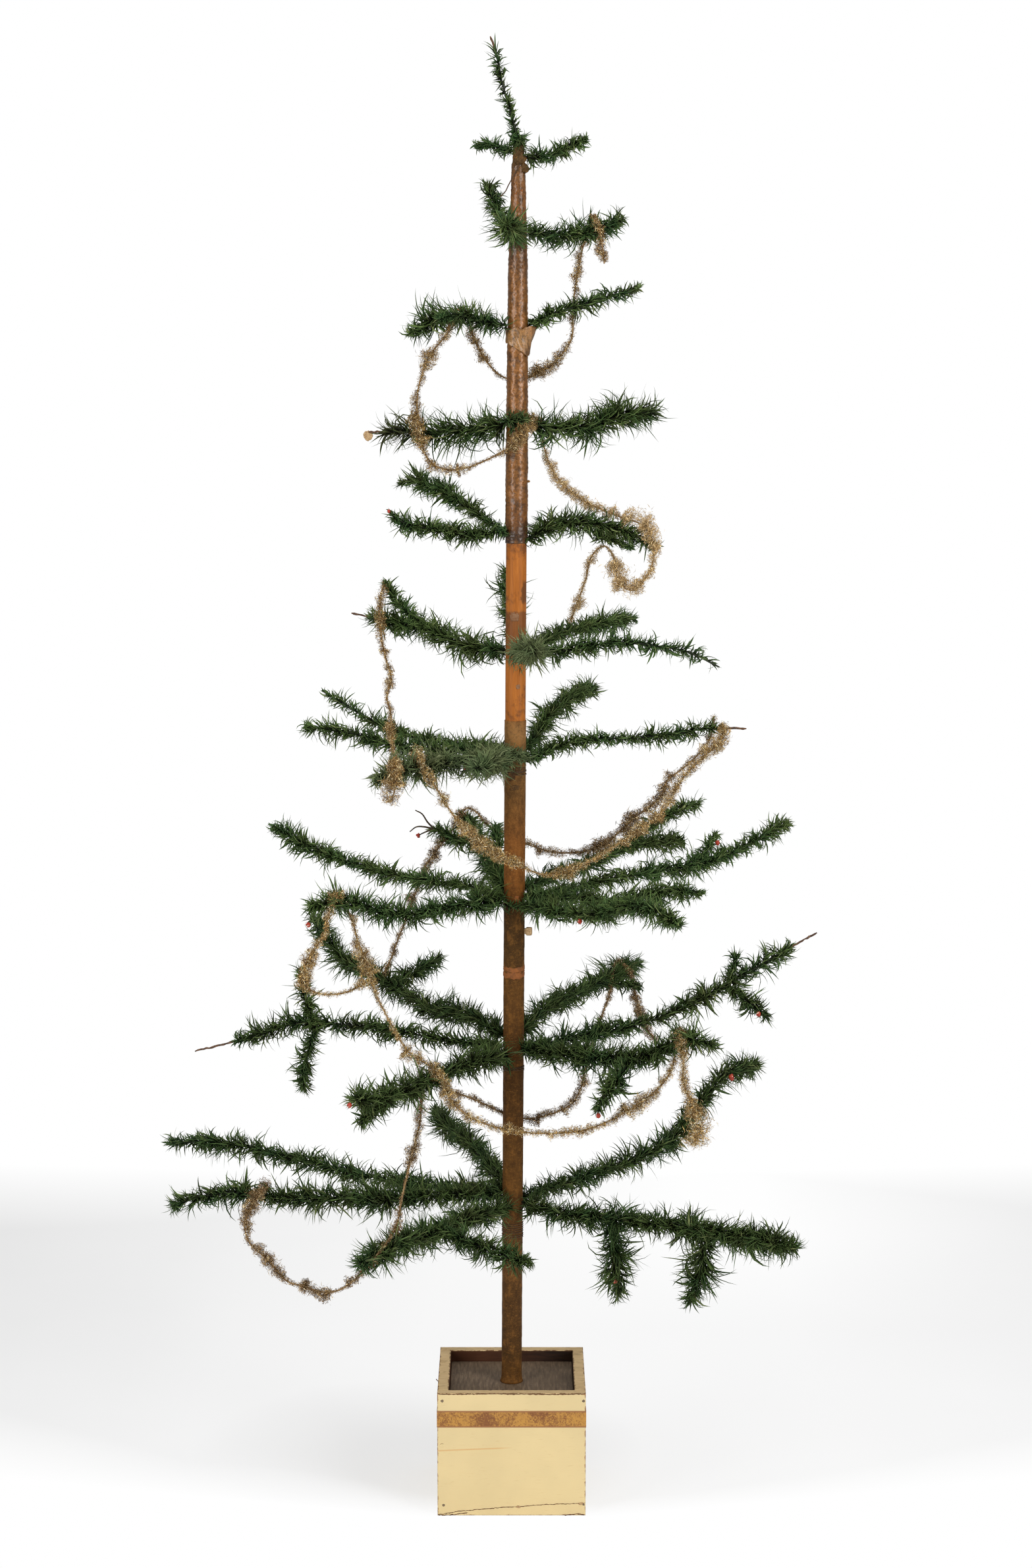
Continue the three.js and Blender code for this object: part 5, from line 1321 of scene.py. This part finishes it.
def splinter_strip(name, route, width, seed):
    """A thin ragged strip along points on the box, such as the edge of a crack."""
    rng = np.random.default_rng(seed)
    path = Path(route, 8)
    count = max(10, int(path.length / (1.5 * MM)))
    points = path.at(np.linspace(0, path.length, count))
    points[:, 2] += rng.normal(0, 0.18 * MM, count)
    radii = width / 2 * rng.uniform(0.45, 1.25, count)
    radii[0] = radii[-1] = 0.1 * MM
    attach(add_mesh(name, *tube(points, radii), CRACK), "base")


def chip(name, x, z, width, height, seed):
    """A raised flake of bare wood where the crack has lifted the paint."""
    rng = np.random.default_rng(seed)
    around = 12
    points = [(x, FRONT - 0.9 * MM, z)]
    for share, out in ((0.7, 0.8), (1, 0.1), (1, -0.3)):
        for turn in circle(around):
            ragged = share * (0.85 + 0.3 * math.sin(turn * 5 + seed) ** 2) * rng.uniform(0.9, 1.1) / 2
            across, up = width * ragged * math.cos(turn), height * ragged * math.sin(turn)
            points.append((x + across, FRONT - out * MM, z + up))
    count = len(points)
    points.append((x, FRONT + 0.3 * MM, z))
    faces = np.vstack([
        fan(0, 1, around), halves(ring_quads(3, around, 1)), fan(count, count - around, around)[:, ::-1],
    ])
    attach(add_mesh(name, points, faces, STUB, False), "base")


# Nails: x, height and radius; cracks and worn edges: how far before the board, width and route. In millimetres.
nails = [(-71.1, 122.6, 1.2), (73.8, 122.6, 1.2), (-70, 11.2, 1.1), (74.1, 11.9, 0.9)]
cracks = {
    "crack": (0.05, 0.75, [
        (-76, 1.6), (-66, 2.4), (-55, 4.6), (-40, 6.1), (-25, 7.4), (-8, 9), (7, 9.8), (36, 12), (60, 12.8), (76, 13.6),
    ]),
    "foot_crack": (0.05, 1.1, [(-76, 0.7), (-62, 0.8), (-52, 2.2), (-45, 3.2)]),
    "worn_rim": (0, 0.9, [(-75, 130), (-50, 129.7), (-20, 130.1), (10, 129.8), (50, 129.6), (75, 130)]),
    "worn_foot": (0, 1.3, [(52, 0.7), (60, 0.9), (68, 1.6), (75.6, 1.2)]),
}


def make_box():
    finishes = {"paint": PAINT, "inner_wood": STAINED, "band": BAND}
    for part in frame["record"]["subparts"]:
        if part["material_slot"] in finishes:
            recolour(part["node"], finishes[part["material_slot"]])
    for index, (x, z, radius) in enumerate(nails):
        nail(f"nail_{index + 1}", x * MM, z * MM, radius * MM, RUST)
    nail("filled_nail", -71.5 * MM, 75.2 * MM, 1.7 * MM, PAINT)
    for index, (name, (before, width, route)) in enumerate(cracks.items()):
        points = [(x * MM, FRONT - before * MM, z * MM) for x, z in route]
        splinter_strip(name, points, width * MM, 60 + index)
    chip("chip_1", 7 * MM, 9.4 * MM, 4.6 * MM, 2.8 * MM, 64)
    chip("chip_2", 71.5 * MM, 13 * MM, 5 * MM, 3 * MM, 65)
    spike = np.array([(-76.4, -30, 128), (-77.2, -31, 129.5), (-78.6, -32, 131.2)]) * MM
    splinter_strip("edge_splinter", spike, 1.2 * MM, 66)


# Stage and lights


def make_stage():
    """A pale floor that fades to white in front of the box and far behind it, and keeps the box's shadow."""
    n = Nodes("studio_floor")
    x, y, _ = n.axes()
    n.finish(n.ramp(n.noise(2.2, 3), (0.3, (0.80, 0.80, 0.80)), (0.7, (0.86, 0.86, 0.86))), 0.85)
    # How white the camera sees it: all of it in front, far behind and far aside, and less round the box. Less white
    # round the box's left, towards the sides and at the left paints the box's shadow and shade on the floor; more white
    # at the right behind the tree is a painted pool of light
    aside = n.most(abs(x) - 0.09, 0.0)
    front = n.fade((aside * 0.75 + 0.1 - y) / (aside * 0.5 + 0.18), 0.0, 1.0)
    behind = n.fade(y - abs(x) * 0.1, 0.6, 1.25)
    sides = n.fade(abs(x), 0.35, 0.85) * 0.22
    near = n.fade((x + 0.1) ** 2.0 + (y - 0.12) ** 2.0, 0.06, 0.004) * 0.2
    left = n.fade(x, -0.1, -0.45) * 0.16
    painted_light_pool = n.fade(abs(x - 0.3), 0.45, 0.05) * n.fade(y, 0.55, 0.95) * 0.2
    middle = 0.78 - sides - near - left + painted_light_pool
    far = n.fade(abs(x), 1.0, 1.6)
    white = n.most(n.most(n.most(front, behind), middle), far)
    rays = n.add("ShaderNodeLightPath").outputs
    seen = n.most(Value(n, rays["Is Camera Ray"]), Value(n, rays["Is Glossy Ray"]))
    both = n.add("ShaderNodeMixShader", Fac=seen * white)
    n.give(both, 1, Value(n, n.shader.outputs[0]))
    n.give(both, 2, n.read("ShaderNodeEmission", 0, Color=(1, 1, 1, 1)))
    n.give(n.tree.nodes["Material Output"], "Surface", Value(n, both.outputs[0]))
    half, depth, across = 3.0, 2.6, 13
    points = [(x, y, 0) for y in np.linspace(-depth, depth, across) for x in np.linspace(-half, half, across)]
    floor = add_mesh("studio_floor", points, flipped(ring_quads(across, across, closed=False)), n.material)


def area_light(name, place, aim, size, power):
    data = bpy.data.lights.new(name, "AREA")
    data.shape = "RECTANGLE"
    data.size, data.size_y = size
    data.energy = power
    lamp = add_object(name, data)
    lamp.location = place
    toward = np.array(aim) - np.array(place)
    lamp.rotation_euler = (
        math.atan2(math.hypot(toward[0], toward[1]), -toward[2]), 0,
        math.atan2(toward[1], toward[0]) - math.pi / 2,
    )


def make_lights():
    area_light("right_bank", (2.1, -2.2, 1.7), (0, 0, 0.75), (1.0, 2.4), 56)
    area_light("left_bank", (-2.1, -2.2, 1.5), (0, 0, 0.75), (1.0, 2.4), 46)
    area_light("top", (0, 0.2, 3.6), (0, 0, 0), (2.6, 2.6), 48)
    world = bpy.data.worlds.new("studio")
    bpy.context.scene.world = world
    world.use_nodes = True
    tree = world.node_tree
    rays = tree.nodes.new("ShaderNodeLightPath")
    strength = tree.nodes.new("ShaderNodeMapRange")
    strength.inputs["To Min"].default_value = 0.3
    strength.inputs["To Max"].default_value = 1.0
    tree.links.new(rays.outputs["Is Camera Ray"], strength.inputs["Value"])
    tree.links.new(strength.outputs["Result"], tree.nodes["Background"].inputs["Strength"])
    tree.nodes["Background"].inputs["Color"].default_value = (1, 1, 1, 1)


camera()
make_tinsel()
make_branches()
make_berries()
make_bare_twigs()
make_leader()
make_trunk()
make_box()
make_stage()
make_lights()
bpy.context.scene.view_settings.view_transform = "Standard"
